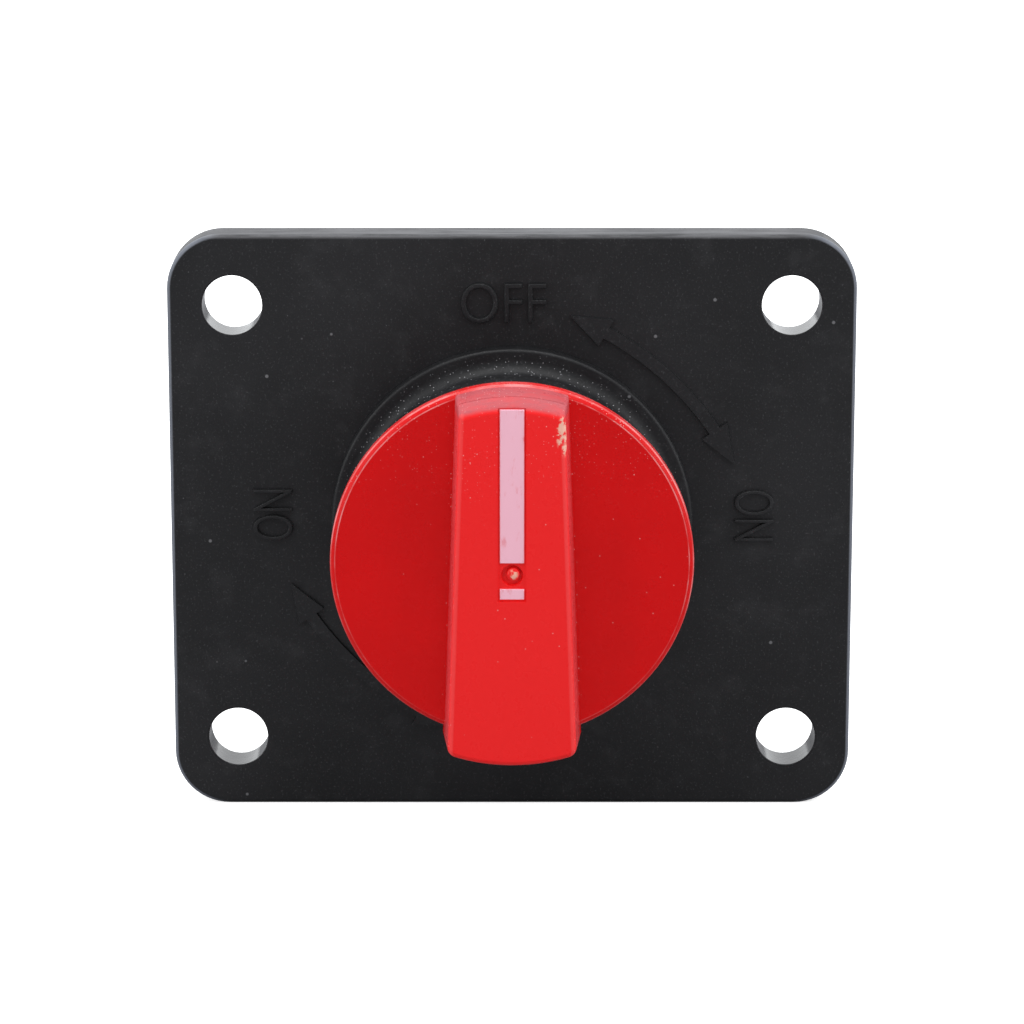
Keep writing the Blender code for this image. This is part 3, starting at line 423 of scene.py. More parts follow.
class Nodes:
    """A node tree, and the steps that add to it."""

    def __init__(self, tree):
        self.nodes, self.links = tree.nodes, tree.links

    def put(self, value, socket):
        if isinstance(value, bpy.types.NodeSocket):
            self.links.new(value, socket)
        elif hasattr(value, "__len__"):
            socket.default_value = (*value[:3], 1.0) if len(socket.default_value) == 4 else value[:3]
        else:
            socket.default_value = value

    def add(self, kind, inputs, output=0, **settings):
        """A new node with its settings and inputs, as one of its outputs."""
        node = self.nodes.new(f"ShaderNode{kind}")
        for key, value in settings.items():
            setattr(node, key, value)
        for key, value in inputs.items():
            self.put(value, node.inputs[key])
        return node.outputs[output]

    def ramp(self, value, low, high, start=0.0, end=1.0):
        inputs = {"Value": value, "From Min": low, "From Max": high, "To Min": start, "To Max": end}
        return self.add("MapRange", inputs, "Result", interpolation_type="SMOOTHSTEP")


class Finish(Nodes):
    """A material's nodes, read in the piece's own space."""

    def __init__(self, name, roughness, metallic=0.0, specular=0.5):
        self.material = bpy.data.materials.new(name)
        self.material.use_nodes = True
        super().__init__(self.material.node_tree)
        self.shader = self.nodes["Principled BSDF"]
        self.shader.inputs["Roughness"].default_value = roughness
        self.shader.inputs["Metallic"].default_value = metallic
        self.shader.inputs["Specular IOR Level"].default_value = specular
        self.place = self.add("TexCoord", {}, "Object")

    def stretched(self, scale, move=(0, 0, 0)):
        inputs = {"Scale": scale, "Location": move, "Vector": self.place}
        return self.add("Mapping", inputs, "Vector")

    def noise(self, scale, detail=3.0, rough=0.5, place=None):
        inputs = {"Scale": scale, "Detail": detail, "Roughness": rough, "Vector": place or self.place}
        return self.add("TexNoise", inputs, "Fac")

    def mottle(self, noise, low, high, start=0.0, end=1.0):
        """Noise, given by its scale, detail, roughness and place, with its range set."""
        return self.ramp(self.noise(*noise), low, high, start, end)

    def calc(self, operation, first, second=0.0):
        return self.add("Math", {0: first, 1: second}, operation=operation)

    def times(self, first, *more):
        for value in more:
            first = self.calc("MULTIPLY", first, value)
        return first

    def plus(self, first, second):
        return self.calc("ADD", first, second)

    def minus(self, first, second):
        return self.calc("SUBTRACT", first, second)

    def most(self, first, second):
        return self.calc("MAXIMUM", first, second)

    def size(self, value):
        return self.calc("ABSOLUTE", value)

    def mix(self, share, first, second):
        return self.add("Mix", {0: share, 6: first, 7: second}, 2, data_type="RGBA")

    def lay(self, share, colour):
        """Covers the base colour so far with another, by a share."""
        self.base = self.mix(share, self.base, colour)

    def specks(self, scale, radius, share):
        """Scattered round specks: radius in cells, and the share of the cells that hold one."""
        away = self.add("TexVoronoi", {"Scale": scale, "Vector": self.place}, "Distance")
        draw = self.add("SeparateColor", {0: away.node.outputs["Color"]})
        near = self.ramp(away, radius * 0.5, radius, 1.0, 0.0)
        return self.times(near, self.ramp(draw, 1 - share, 1.001 - share))

    def spot(self, centre, reach):
        """One at a point of the piece, falling to nothing at a reach along each axis."""
        scale = [1 / r for r in reach]
        place = self.stretched(scale, [-c * s for c, s in zip(centre, scale)])
        return self.add("TexGradient", {"Vector": place}, "Fac", gradient_type="SPHERICAL")

    def axes(self):
        """The piece's x, y and z, each as a socket."""
        return list(self.add("SeparateXYZ", {0: self.place}).node.outputs)

    def reach(self, x=0.0, z=0.0):
        """Distance from a line along Y through a place on the face."""
        flat = self.stretched((1, 0, 1), (-x, 0, -z))
        return self.add("VectorMath", {0: flat}, "Value", operation="LENGTH")

    def band(self, value, middle, width):
        """One at the middle, falling to nothing on each side."""
        return self.ramp(self.size(self.minus(value, middle)), width * 0.35, width, 1.0, 0.0)

    def done(self, base, rough, height, distance, strength):
        """Joins the base colour, the roughness and a bump to the shader, and gives the material."""
        self.put(base, self.shader.inputs["Base Color"])
        self.put(rough, self.shader.inputs["Roughness"])
        bump = {"Distance": distance, "Strength": strength, "Height": height}
        self.put(self.add("Bump", bump, "Normal"), self.shader.inputs["Normal"])
        return self.material


def plate_plastic():
    """Spark-textured charcoal moulding, with settled dust, a pale painted rim highlight and polished cut
    edges.
    """
    c, p = bpy.context.scene.switch_colours, bpy.context.scene.switch_plate
    f = Finish("plate_plastic", 0.4, specular=0.30)
    x, y, z = f.axes()
    side, up = f.size(x), f.size(z)
    wide, tall = PLATE_HIGH.x, PLATE_HIGH.z
    fine = f.noise(4200, 2, 0.6)
    lighter = [min(1, v * 1.35 + 0.002) for v in c.plate]
    f.base = f.mix(f.mottle((55, 4, 0.6), 0.35, 0.7), c.plate, lighter)

    # Film and dust all over
    f.lay(f.ramp(fine, 0.55, 0.85, 0.0, 0.10), c.dust)
    f.lay(f.mottle((260, 5, 0.7), 0.50, 0.72, 0.0, 0.020), c.dust)
    f.lay(f.times(f.specks(330, 0.075, 0.26), 0.34), c.dust)
    patches = f.mottle((70, 2, 0.5), 0.45, 0.62, 0.15, 1.0)
    f.lay(f.times(f.specks(1100, 0.12, 0.06), 0.20, patches), c.dust)

    # Grains on the collar, most of them on its upper side
    collar = f.ramp(f.reach(), STEP_RADIUS, COLLAR_RADIUS + 0.001)
    above = f.ramp(z, -0.004, 0.012, 0.10, 1.0)
    f.lay(f.times(f.specks(3400, 0.24, 0.42), 0.75, above, collar), c.dust)

    # Painted highlight: a pale line of rim light just inside the two side edges and round their corners
    past = [f.most(f.minus(v, h - p.corner), 0.0) for v, h in ((side, wide), (up, tall))]
    away = f.calc("SQRT", f.plus(f.times(past[0], past[0]), f.times(past[1], past[1])))
    rim = f.times(
        f.band(away, p.corner - 0.00012, 0.00030),
        f.ramp(side, wide - 0.0060, wide - 0.0025),
        f.ramp(y, PLATE_FRONT + 0.0009, PLATE_FRONT + 0.0004),
    )
    f.lay(f.times(rim, 0.60), RIM_HIGHLIGHT)

    # Streaks of dust along the top edge
    top = f.ramp(z, tall - 0.00055, tall - 0.00015)
    streaks = f.mottle((900, 4, 0.7, f.stretched((0.12, 1.6, 1))), 0.42, 0.62, 0.26, 0.12)
    f.lay(f.times(top, streaks), c.dust)

    # Smoother side edges and hole walls
    cut = f.ramp(side, wide - 0.0005, wide - 0.0001)
    for place in bolt_places():
        wall = f.ramp(f.reach(*place), p.hole + 0.00012, p.hole + 0.0003, 1.0, 0.0)
        cut = f.most(cut, f.times(wall, 1.6))
    grain = f.plus(f.mottle((240, 4, 0.6), 0.3, 0.75, 0.40, 0.54), f.times(top, 0.20))
    rough = f.most(f.minus(grain, f.times(cut, 0.22)), 0.11)
    return f.done(f.base, rough, f.plus(fine, f.noise(1500, 2, 0.5)), 0.00002, 0.45)


def knob_plastic():
    """Red moulding with fine dust, painted highlights round the disc's chamfer and along the grip's face
    edges, painted light that makes the grip's face lighter than the disc, a hazy end with painted sheen, and
    a scuff on the grip's upper edge.
    """
    c = bpy.context.scene.switch_colours
    f = Finish("knob_plastic", 0.32, specular=0.17)
    x, y, z = f.axes()
    out = f.reach()
    darker = [v * 0.93 for v in c.knob]
    f.base = f.mix(f.mottle((90, 3, 0.5), 0.3, 0.7), darker, c.knob)
    # Painted light: the grip's raised face made lighter than the disc, graded up its sides
    f.lay(f.ramp(y, DISC_FACE, GRIP_FACE), c.knob_lit_face)

    # Haze on the pointer's end of the grip, on its upper part only: partly real haze, partly painted sheen
    # from the light above
    proud = f.ramp(y, DISC_FACE - 0.0002, DISC_FACE - 0.0005)
    upper = f.ramp(z, 0.004, 0.012)
    end = f.times(f.ramp(out, 0.0163, 0.0169), upper, proud)
    haze = f.mottle((700, 4, 0.7, f.stretched((0.5, 1, 1))), 0.3, 0.7, 0.70, 0.98)
    f.lay(f.times(end, haze), END_HAZE_AND_SHEEN)

    # Painted highlights on both edges of the disc's chamfer, stronger towards the top
    rim_highlights = f.times(
        f.most(f.band(out, 0.01793, 0.00009), f.band(out, 0.01750, 0.00008)),
        f.mottle((260, 3, 0.6), 0.3, 0.65, 0.10, 0.60),
        f.ramp(z, -0.012, 0.004, 0.25, 1.0),
        f.minus(1.0, proud),
    )
    f.lay(rim_highlights, DISC_RIM_HIGHLIGHT)
    f.lay(f.times(f.specks(1500, 0.12, 0.10), 0.45), KNOB_DUST)

    # The grip's sides at the disc and the edges of its face
    grip = f.plus(f.size(x), f.times(z, GRIP_TAPER))
    near = f.most(f.times(f.ramp(out, 0.0160, 0.0179), upper), f.times(upper, 0.40))
    near = f.most(near, f.band(grip, GRIP_HALF - 0.00015, 0.00060))
    foot = f.ramp(y, DISC_FACE, DISC_FACE - 0.0004)
    wall = f.times(f.band(grip, GRIP_HALF - 0.00025, 0.00032), foot)
    f.lay(f.times(wall, haze, 0.40), GRIP_WALL)
    # Painted highlight along the rounded side edges of the grip's face
    face = f.ramp(y, GRIP_FACE + 0.0006, GRIP_FACE + 0.0002)
    edge_highlight = f.times(f.band(grip, GRIP_HALF - 0.00075, 0.00028), face)
    f.lay(f.times(edge_highlight, 0.30), GRIP_EDGE_HIGHLIGHT)
    f.lay(f.times(f.specks(4200, 0.24, 0.22), 0.75, near), KNOB_DUST)

    # A scuff at the upper right edge, and the pale middle of the moulding gate
    edge = f.spot((0.0054, GRIP_FACE, 0.0141), (0.0014, 0.0009, 0.0028))
    scuff = f.ramp(f.times(edge, f.mottle((1500, 4, 0.7), 0.34, 0.58)), 0.10, 0.36)
    f.lay(scuff, SCUFFED)
    gate = f.ramp(f.reach(0.0001, 0.0001), 0.0003, 0.00062, 0.75, 0.0)
    f.lay(f.times(gate, f.mottle((1800, 2), 0.4, 0.55)), GATE_PALE)

    rough = f.plus(f.mottle((600, 4, 0.6), 0.3, 0.75, 0.24, 0.38), f.times(scuff, 0.3))
    height = f.plus(f.noise(2600, 2, 0.5), f.times(scuff, 3.0))
    return f.done(f.base, rough, height, 0.00001, 0.20)


def pointer_paint():
    """Brushed-in pale paint, thin enough in places for the red to show."""
    c = bpy.context.scene.switch_colours
    f = Finish("pointer_paint", 0.5, specular=0.4)
    worn = f.mottle((1500, 4, 0.65, f.stretched((1, 1, 0.35))), 0.56, 0.74)
    base = f.mix(f.times(worn, 0.40), c.pointer, c.knob)
    brushed = f.noise(1800, 3, 0.6, f.stretched((1, 1, 0.3)))
    return f.done(base, f.mottle((800,), 0.3, 0.7, 0.42, 0.62), brushed, 0.00003, 0.4)


def shell_plastic():
    """Charcoal moulding of the housing, slightly glossier than the plate."""
    c = bpy.context.scene.switch_colours
    f = Finish("housing_plastic", 0.45, specular=0.35)
    lighter = [min(1, v * 1.5 + 0.002) for v in c.shell]
    f.base = f.mix(f.mottle((70, 4, 0.6), 0.35, 0.7), c.shell, lighter)
    f.lay(f.times(f.specks(500, 0.09, 0.12), 0.22), c.dust)
    height = f.plus(f.noise(3200, 2, 0.6), f.noise(900, 2, 0.5))
    return f.done(f.base, f.mottle((300, 4, 0.6), 0.3, 0.75, 0.38, 0.54), height, 0.00002, 0.5)


def rubber(name):
    """Matt black rubber."""
    c = bpy.context.scene.switch_colours
    f = Finish(name, 0.85, specular=0.25)
    grey = [v + 0.02 for v in c.rubber]
    base = f.mix(f.mottle((700, 4, 0.6), 0.35, 0.7), c.rubber, grey)
    return f.done(base, f.mottle((900,), 0.3, 0.7, 0.75, 0.92), f.noise(2500, 3), 0.00003, 0.5)


def moulded(name, colour, roughness):
    """A pale engineering plastic with faint flow marks."""
    f = Finish(name, roughness, specular=0.45)
    flow = f.mottle((160, 4, 0.6, f.stretched((1, 0.25, 1))), 0.3, 0.7)
    base = f.mix(flow, [v * 0.82 for v in colour], colour)
    rough = f.mottle((700,), 0.3, 0.7, roughness - 0.06, roughness + 0.1)
    return f.done(base, rough, f.noise(2200, 2), 0.00001, 0.4)


def machined(name, colour, roughness, grain=(1, 9, 1)):
    """A metal with fine tool marks and a slightly uneven tone."""
    f = Finish(name, roughness, metallic=1.0)
    base = f.mix(f.mottle((420, 4, 0.65), 0.35, 0.72), colour, [v * 0.80 for v in colour])
    rough = f.mottle((900, 4, 0.6), 0.3, 0.75, roughness - 0.06, roughness + 0.14)
    return f.done(base, rough, f.noise(1100, 3, 0.6, f.stretched(grain)), 0.000012, 0.35)


def finishes():
    """Every finish by its slot, made once."""
    kept = {m.name: m for m in bpy.data.materials if m.name.startswith("slot ")}
    if kept:
        return {name[5:]: material for name, material in kept.items()}
    c = bpy.context.scene.switch_colours
    made = {
        "plate_plastic": plate_plastic(),
        "housing_plastic": shell_plastic(),
        "knob_plastic": knob_plastic(),
        "pointer_paint": pointer_paint(),
        "gasket_rubber": rubber("gasket_rubber"),
        "seal_rubber": rubber("seal_rubber"),
        "bush_brass": machined("bush_brass", c.brass, 0.30),
        "insert_brass": machined("insert_brass", c.brass, 0.34),
        "spindle_brass": machined("spindle_brass", c.brass, 0.26),
        "thrust_acetal": moulded("thrust_acetal", c.acetal, 0.40),
        "cam_acetal": moulded("cam_acetal", c.acetal, 0.36),
        "sleeve_acetal": moulded("sleeve_acetal", c.acetal, 0.42),
        "carrier_plastic": moulded("carrier_plastic", CARRIER, 0.45),
        "screw_steel": machined("screw_steel", c.zinc, 0.30),
        "washer_steel": machined("washer_steel", c.zinc, 0.28, grain=(9, 1, 9)),
        "lock_washer_steel": machined("lock_washer_steel", c.zinc, 0.34),
        "nut_steel": machined("nut_steel", c.zinc, 0.30),
        "spring_steel": machined("spring_steel", SPRING_STEEL, 0.28),
        "stud_copper": machined("stud_copper", c.tin, 0.30),
        "bar_copper": machined("bar_copper", c.copper, 0.28, grain=(9, 1, 1)),
        "tip_silver": machined("tip_silver", c.silver, 0.24),
    }
    for slot, material in made.items():
        material.name = f"slot {slot}"
    return made


# Pieces


def bolt_places():
    return [(sx * BOLT_X, sz * BOLT_Z) for sx in (-1, 1) for sz in (-1, 1)]


def post_places():
    return [(sx * SCREW_X, sz * SCREW_Z) for sx in (-1, 1) for sz in (-1, 1)]


def arc_rings(centre_radius, centre_level, reach, start, end, count):
    """Rings along an arc between two angles, in degrees."""
    rings = []
    for i in range(count + 1):
        a = math.radians(start + (end - start) * i / count)
        rings.append((centre_radius + reach * math.cos(a), centre_level + reach * math.sin(a)))
    return rings


class SWITCH_OT_plate(bpy.types.Operator):
    """Models the face plate with its collar, step, bolt holes and the fittings behind it"""

    bl_idname = "switch.plate"
    bl_label = "Face plate"

    def execute(self, context):
        p = context.scene.switch_plate
        half_x, half_z = PLATE_HIGH.x, PLATE_HIGH.z
        plate = block("plate_moulding", (-half_x, half_x), (PLATE_FRONT, 0), (-half_z, half_z))
        bevel(plate, lambda a, b: abs(a.x - b.x) < SMALL and abs(a.z - b.z) < SMALL, p.corner, 14)
        bevel(plate, at_level(PLATE_FRONT), p.edge, 5)
        bevel(plate, at_level(0), p.edge * 0.6, 3)
        weld(plate, self.collar(p))
        spigot, wall, lead, end = SHELL_BORE - 0.0003, 0.0014, 0.0003, 0.0035
        rings = [(spigot - wall, -PAST), (spigot, -PAST), (spigot, end - lead), (spigot - lead, end)]
        weld(plate, turned("spigot", [*rings, (spigot - wall, end)], steps=96, hollow=True))
        boss, boss_end = 0.00285, 0.006
        for x, z in post_places():
            weld(plate, rod("boss", boss, -PAST, boss_end, (x, z), 40))
        carve(plate, rod("cavity", CAVITY_RADIUS, ROOF_INSIDE, PAST))
        seat = rod("bush_seat", BUSH_RADIUS, COLLAR_TOP - PAST, ROOF_INSIDE + PAST, steps=64)
        carve(plate, seat)
        for x, z in bolt_places():
            carve(plate, self.bolt_hole(p.hole, x, z))
        for x, z in post_places():
            carve(plate, rod("pilot", SCREW_BORE, -0.003, boss_end + PAST, (x, z), 32))
        fit_out(plate, "housing", "plate_plastic", "face_plate")
        return {"FINISHED"}

    def collar(self, p):
        edge, top = 0.00035, 0.00045
        rings = [(STEP_RADIUS, PLATE_FRONT + PAST)]
        rings += arc_rings(STEP_RADIUS - edge, STEP_TOP + edge, edge, 0, -90, 4)
        rings += arc_rings(COLLAR_RADIUS + p.fillet, STEP_TOP - p.fillet, p.fillet, 90, 180, 10)
        rings += arc_rings(COLLAR_RADIUS - top, COLLAR_TOP + top, top, 0, -90, 5)
        return turned("collar", rings, steps=160)

    def bolt_hole(self, radius, x, z):
        lip = 0.00012
        rings = [(radius + 2 * lip, PLATE_FRONT - lip)]
        rings += arc_rings(radius + lip, PLATE_FRONT + lip, lip, 270, 180, 4)
        rings += [(radius, -lip), (radius + 2 * lip, lip)]
        return turned("bolt_hole", rings, (x, z), 64)


class SWITCH_OT_marks(bpy.types.Operator):
    """Models the raised words and curved arrows on the face plate"""

    bl_idname = "switch.marks"
    bl_label = "Raised marks"

    def execute(self, context):
        height = context.scene.switch_plate.mark_height
        words = (
            ("OFF", -0.00085, 0.0230, 0, 0.0086),
            ("ON", 0.0248, 0.00087, -90, 0.0053),
            ("ON", -0.0245, 0.00097, 90, 0.0053),
        )
        marks = [self.word(word, x, z, turn, width, height) for word, x, z, turn, width in words]
        for turn in (0, 180):
            marks.append(self.arrow(turn, height))
        first = marks[0]
        join(first, marks[1:])
        first.name = first.data.name = "raised_marks"
        fit_out(first, "housing", "plate_plastic")
        return {"FINISHED"}

    def limits(self, obj):
        corners = [vertex.co for vertex in obj.data.vertices]
        low, high = ([pick(c[i] for c in corners) for i in range(3)] for pick in (min, max))
        return Vector(low), Vector(high)

    def word(self, letters, x, z, turn, width, height, tall=0.0041):
        """A word in plain capitals, standing on the plate."""
        deselect()
        bpy.ops.object.text_add()
        text = bpy.context.active_object
        text.data.body = letters
        text.data.size = 0.0056
        text.data.align_x, text.data.align_y = "CENTER", "CENTER"
        text.data.resolution_u = 6
        text.data.extrude = height
        text.data.bevel_depth = 0.00009
        text.data.bevel_resolution = 2
        text.data.offset = -0.00012
        bpy.ops.object.convert(target="MESH")
        word = bpy.context.active_object
        word.name = "word"
        low, high = self.limits(word)
        word.scale = (width / (high.x - low.x), tall / (high.y - low.y), 1)
        settle()
        low, high = self.limits(word)
        word.location = (-(low.x + high.x) / 2, -(low.y + high.y) / 2, 0)
        settle()
        word.rotation_euler = (math.pi / 2, -math.radians(turn), 0)
        word.location = (x, PLATE_FRONT, z)
        settle()
        edit_all()
        bpy.ops.mesh.remove_doubles(threshold=MERGE)
        face_outwards()
        return word

    def arrow(self, turn, height):
        """A double-headed arrow bent round an arc, from a bar that is widened to two points."""
        centre = Vector((-0.0061, 0, -0.0083))
        radius, shaft, head = 0.0323, 0.00146, 0.0033
        low, high, tip = 27.0, 68.0, 7.0
        stations = [(low, 0.00012), (low + tip, head), (low + tip + 0.05, shaft)]
        count = 20
        start, end = low + tip + 0.05, high - tip - 0.05
        stations += [(start + (end - start) * i / count, shaft) for i in range(1, count + 1)]
        stations += [(high - tip, head), (high, 0.00012)]
        level, back = PLATE_FRONT - height, PLATE_FRONT + 0.0002
        rows = []
        for angle, width in stations:
            a = math.radians(angle)
            out = Vector((math.cos(a), 0, math.sin(a)))
            row = []
            for side, y in ((-1, back), (-1, level), (1, level), (1, back)):
                slope = 0.00012 if y == level else 0.0
                reach = radius + side * max(width / 2 - slope, 0.00003)
                row.append(centre + out * reach + Vector((0, y, 0)))
            rows.append(row)
        arrow = bridged("arrow", rows)
        if turn:
            arrow.rotation_euler = (0, math.radians(turn), 0)
            settle()
        return arrow


class SWITCH_OT_knob(bpy.types.Operator):
    """Models the knob: its disc and hub, and the tapered grip with the pointer's groove"""

    bl_idname = "switch.knob"
    bl_label = "Knob"

    def execute(self, context):
        p = context.scene.switch_knob
        knob = self.disc(p)
        weld(knob, self.grip(p))
        socket, socket_floor = 0.0037, -0.0183
        square = (-socket, socket)
        carve(knob, block("socket", square, (socket_floor, HUB_END + PAST), square))
        insert, insert_floor = 0.0029, -0.0229
        carve(knob, rod("insert_pocket", insert, insert_floor, socket_floor + 0.0001, steps=48))
        half, floor = p.groove_width / 2, GRIP_FACE + p.groove_depth
        foot, end = -0.0026, 0.0185
        carve(knob, block("groove", (-half, half), (GRIP_FACE - PAST, floor), (foot, end)))
        gate = [(0.00125, GRIP_FACE - PAST), (0.00115, GRIP_FACE + 0.0001), (0.00095, GRIP_FACE + 0.0008)]
        carve(knob, turned("gate", gate, steps=48))
        nub = [(0.00075, GRIP_FACE + 0.0010), (0.00062, GRIP_FACE + 0.0003), (0.00035, GRIP_FACE + 0.00012)]
        weld(knob, turned("gate_nub", nub, (0.00012, 0.0001), 24))
        fit_out(knob, "rotor", "knob_plastic", "knob")
        return {"FINISHED"}

    def disc(self, p):
        r, c = p.radius, p.chamfer
        rings = [(HUB_RADIUS - 0.0003, HUB_END), (HUB_RADIUS, HUB_END - 0.0003), (HUB_RADIUS, DISC_BACK)]
        rings += [(r - 0.0003, DISC_BACK), (r - 0.00008, DISC_BACK - 0.00008), (r, DISC_BACK - 0.0003)]
        rings += [(r, DISC_FACE + c + 0.00012), (r - 0.00002, DISC_FACE + c + 0.00002)]
        rings += [(r - 0.0001, DISC_FACE + c - 0.0001), (r - c + 0.0001, DISC_FACE + 0.0001)]
        rings += [(r - c - 0.00002, DISC_FACE + 0.00002), (r - c - 0.00012, DISC_FACE)]
        return turned("knob_moulding", rings, steps=192)

    def grip(self, p):
        """Outlines of the grip from its foot to its rounded face, bridged into one body."""
        foot, face, edge = DISC_BACK - 0.0003, GRIP_FACE, p.grip_edge
        levels = [(foot, 0.0003, 0), (foot - 0.0001, 0.0001, 0), (foot - 0.0003, 0, 0), (DISC_FACE, 0, 0)]
        levels += [(-0.02432, 0, 0), (-0.02438, 0, 0.0001), (-0.02444, 0, 0)]
        for i in range(6):
            a = math.radians(i * 18)
            levels.append((face + edge * (1 - math.sin(a)), edge * (1 - math.cos(a)), 0))
        return bridged("grip", [self.outline(p, *level) for level in levels])

    def outline(self, p, y, inset, score):
        """The grip's plan at one level: two arcs about the axis, two tapered sides and four round corners."""
        lean = math.hypot(1, GRIP_TAPER)
        across = (GRIP_HALF - GRIP_DRAFT * (DISC_FACE - y)) / lean - inset
        side = math.atan2(GRIP_TAPER, 1)
        ends = []
        for sign, corner, profile, cut in (
            (1, p.pointer_corner, POINTER_END, inset + score),
            (-1, p.grip_corner, HANDLE_END, inset),
        ):
            end, round_ = between(profile, y) - cut, max(corner - inset, 0.00008)
            along = sign * math.sqrt((end - round_) ** 2 - (across - round_) ** 2)
            middle = Vector((math.cos(side), math.sin(side))) * (across - round_)
            middle += Vector((-math.sin(side), math.cos(side))) * along
            ends.append((end, round_, middle, math.atan2(middle.y, middle.x)))
        right = []
        (top, top_round, top_middle, top_turn), (low, low_round, low_middle, low_turn) = ends
        for i in range(24):
            a = -math.pi / 2 + (low_turn + math.pi / 2) * i / 24
            right.append((low * math.cos(a), low * math.sin(a)))
        for middle, round_, start, end in (
            (low_middle, low_round, low_turn, side),
            (top_middle, top_round, side, top_turn),
        ):
            for i in range(8):
                a = start + (end - start) * i / 7
                right.append((middle.x + round_ * math.cos(a), middle.y + round_ * math.sin(a)))
        for i in range(1, 25):
            a = top_turn + (math.pi / 2 - top_turn) * i / 24
            right.append((top * math.cos(a), top * math.sin(a)))
        left = [(-x, z) for x, z in right[-2:0:-1]]
        return [Vector((x, y, z)) for x, z in right + left]


class SWITCH_OT_pointer(bpy.types.Operator):
    """Models the paint in the pointer's groove, on both sides of the moulding gate"""

    bl_idname = "switch.pointer"
    bl_label = "Pointer"

    def execute(self, context):
        p = context.scene.switch_knob
        floor = GRIP_FACE + p.groove_depth + 0.00002
        half = p.groove_width / 2 - 0.00018
        top = floor - 0.00022
        for name, node, low, high in (
            ("pointer_stripe", "pointer_line", 0.00125, 0.01655),
            ("pointer_stub", "pointer_tail", -0.0024, -0.00135),
        ):
            strip = block(name, (-half, half), (top, floor), (low, high))
            bevel(strip, at_level(top), 0.00008, 3)
            fit_out(strip, "rotor", "pointer_paint", node)
        return {"FINISHED"}


class SWITCH_OT_shell(bpy.types.Operator):
    """Models the round rear housing with its barrier, terminal pads and screw wells, and its gasket"""

    bl_idname = "switch.shell"
    bl_label = "Rear housing"

    def execute(self, context):
        r, edge = SHELL_RADIUS, 0.0012
        floor, top = SHELL_FLOOR, SHELL_HIGH.y
        post, post_start, pad = 0.0027, 0.0063, 0.0090
        well, well_depth, well_lip = 0.0028, 0.0026, 0.0002
        head_wide, head_tall, head_depth = 0.0053, 0.0048, 0.0011
        seal, seal_depth = 0.0056, 0.0014
        wall, wall_reach = 0.0015, 0.0170
        rings = [(SHELL_BORE, floor), (SHELL_BORE, SHELL_LOW.y), (r - 0.0002, SHELL_LOW.y)]
        rings += [(r, SHELL_LOW.y + 0.0002)]
        rings += [(r, 0.0040), (r - 0.0002, 0.0042), (r - 0.0002, 0.0052), (r, 0.0054)]  # parting groove
        rings += arc_rings(r - edge, SHELL_FACE - edge, edge, 0, 90, 8)
        shell = turned("housing_shell", rings, steps=160)
        along = (-wall_reach, wall_reach)
        barrier = block("barrier", (-wall, wall), (SHELL_FACE - PAST, top), along)
        bevel(barrier, lambda a, b: a.y > top - SMALL or b.y > top - SMALL, 0.0006, 4)
        weld(shell, barrier)
        for side in (-1, 1):
            rings = [(pad, SHELL_FACE - PAST), (pad, PAD_FACE - 0.0002), (pad - 0.0002, PAD_FACE)]
            weld(shell, turned("pad", rings, (side * STUD_X, 0), 72))
        for x, z in post_places():
            weld(shell, rod("post", post, post_start, floor + PAST, (x, z), 40))
        for x, z in post_places():
            carve(shell, rod("screw_bore", SCREW_BORE, 0.0, SHELL_FACE + PAST, (x, z), 32))
            rings = [(well, SHELL_FACE - well_depth), (well, SHELL_FACE - well_lip)]
            rings += [(well + 2 * well_lip, SHELL_FACE + well_lip)]
            carve(shell, turned("screw_well", rings, (x, z), 48))
        for side in (-1, 1):
            place = (side * STUD_X, 0)
            carve(shell, rod("stud_bore", STUD_BORE, floor - PAST, PAD_FACE + PAST, place, 48))
            across = (side * STUD_X - head_wide, side * STUD_X + head_wide)
            depth = (floor - PAST, floor + head_depth)
            carve(shell, block("head_pocket", across, depth, (-head_tall, head_tall)))
            carve(shell, rod("seal_groove", seal, PAD_FACE - seal_depth, PAD_FACE + PAST, place, 48))
        fit_out(shell, "housing", "housing_plastic", "rear_housing")
        self.gasket()
        return {"FINISHED"}

    def gasket(self):
        low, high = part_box("housing_gasket")
        bore, middle = SHELL_BORE + 0.0003, (low.y + high.y) / 2
        rings = [(bore, low.y), (high.x - 0.0002, low.y), (high.x, middle - 0.0002)]
        rings += [(high.x, middle + 0.0002), (high.x - 0.0002, high.y), (bore, high.y)]
        gasket = turned("panel_gasket", rings, steps=128, hollow=True)
        fit_out(gasket, "housing", "gasket_rubber", "housing_gasket")


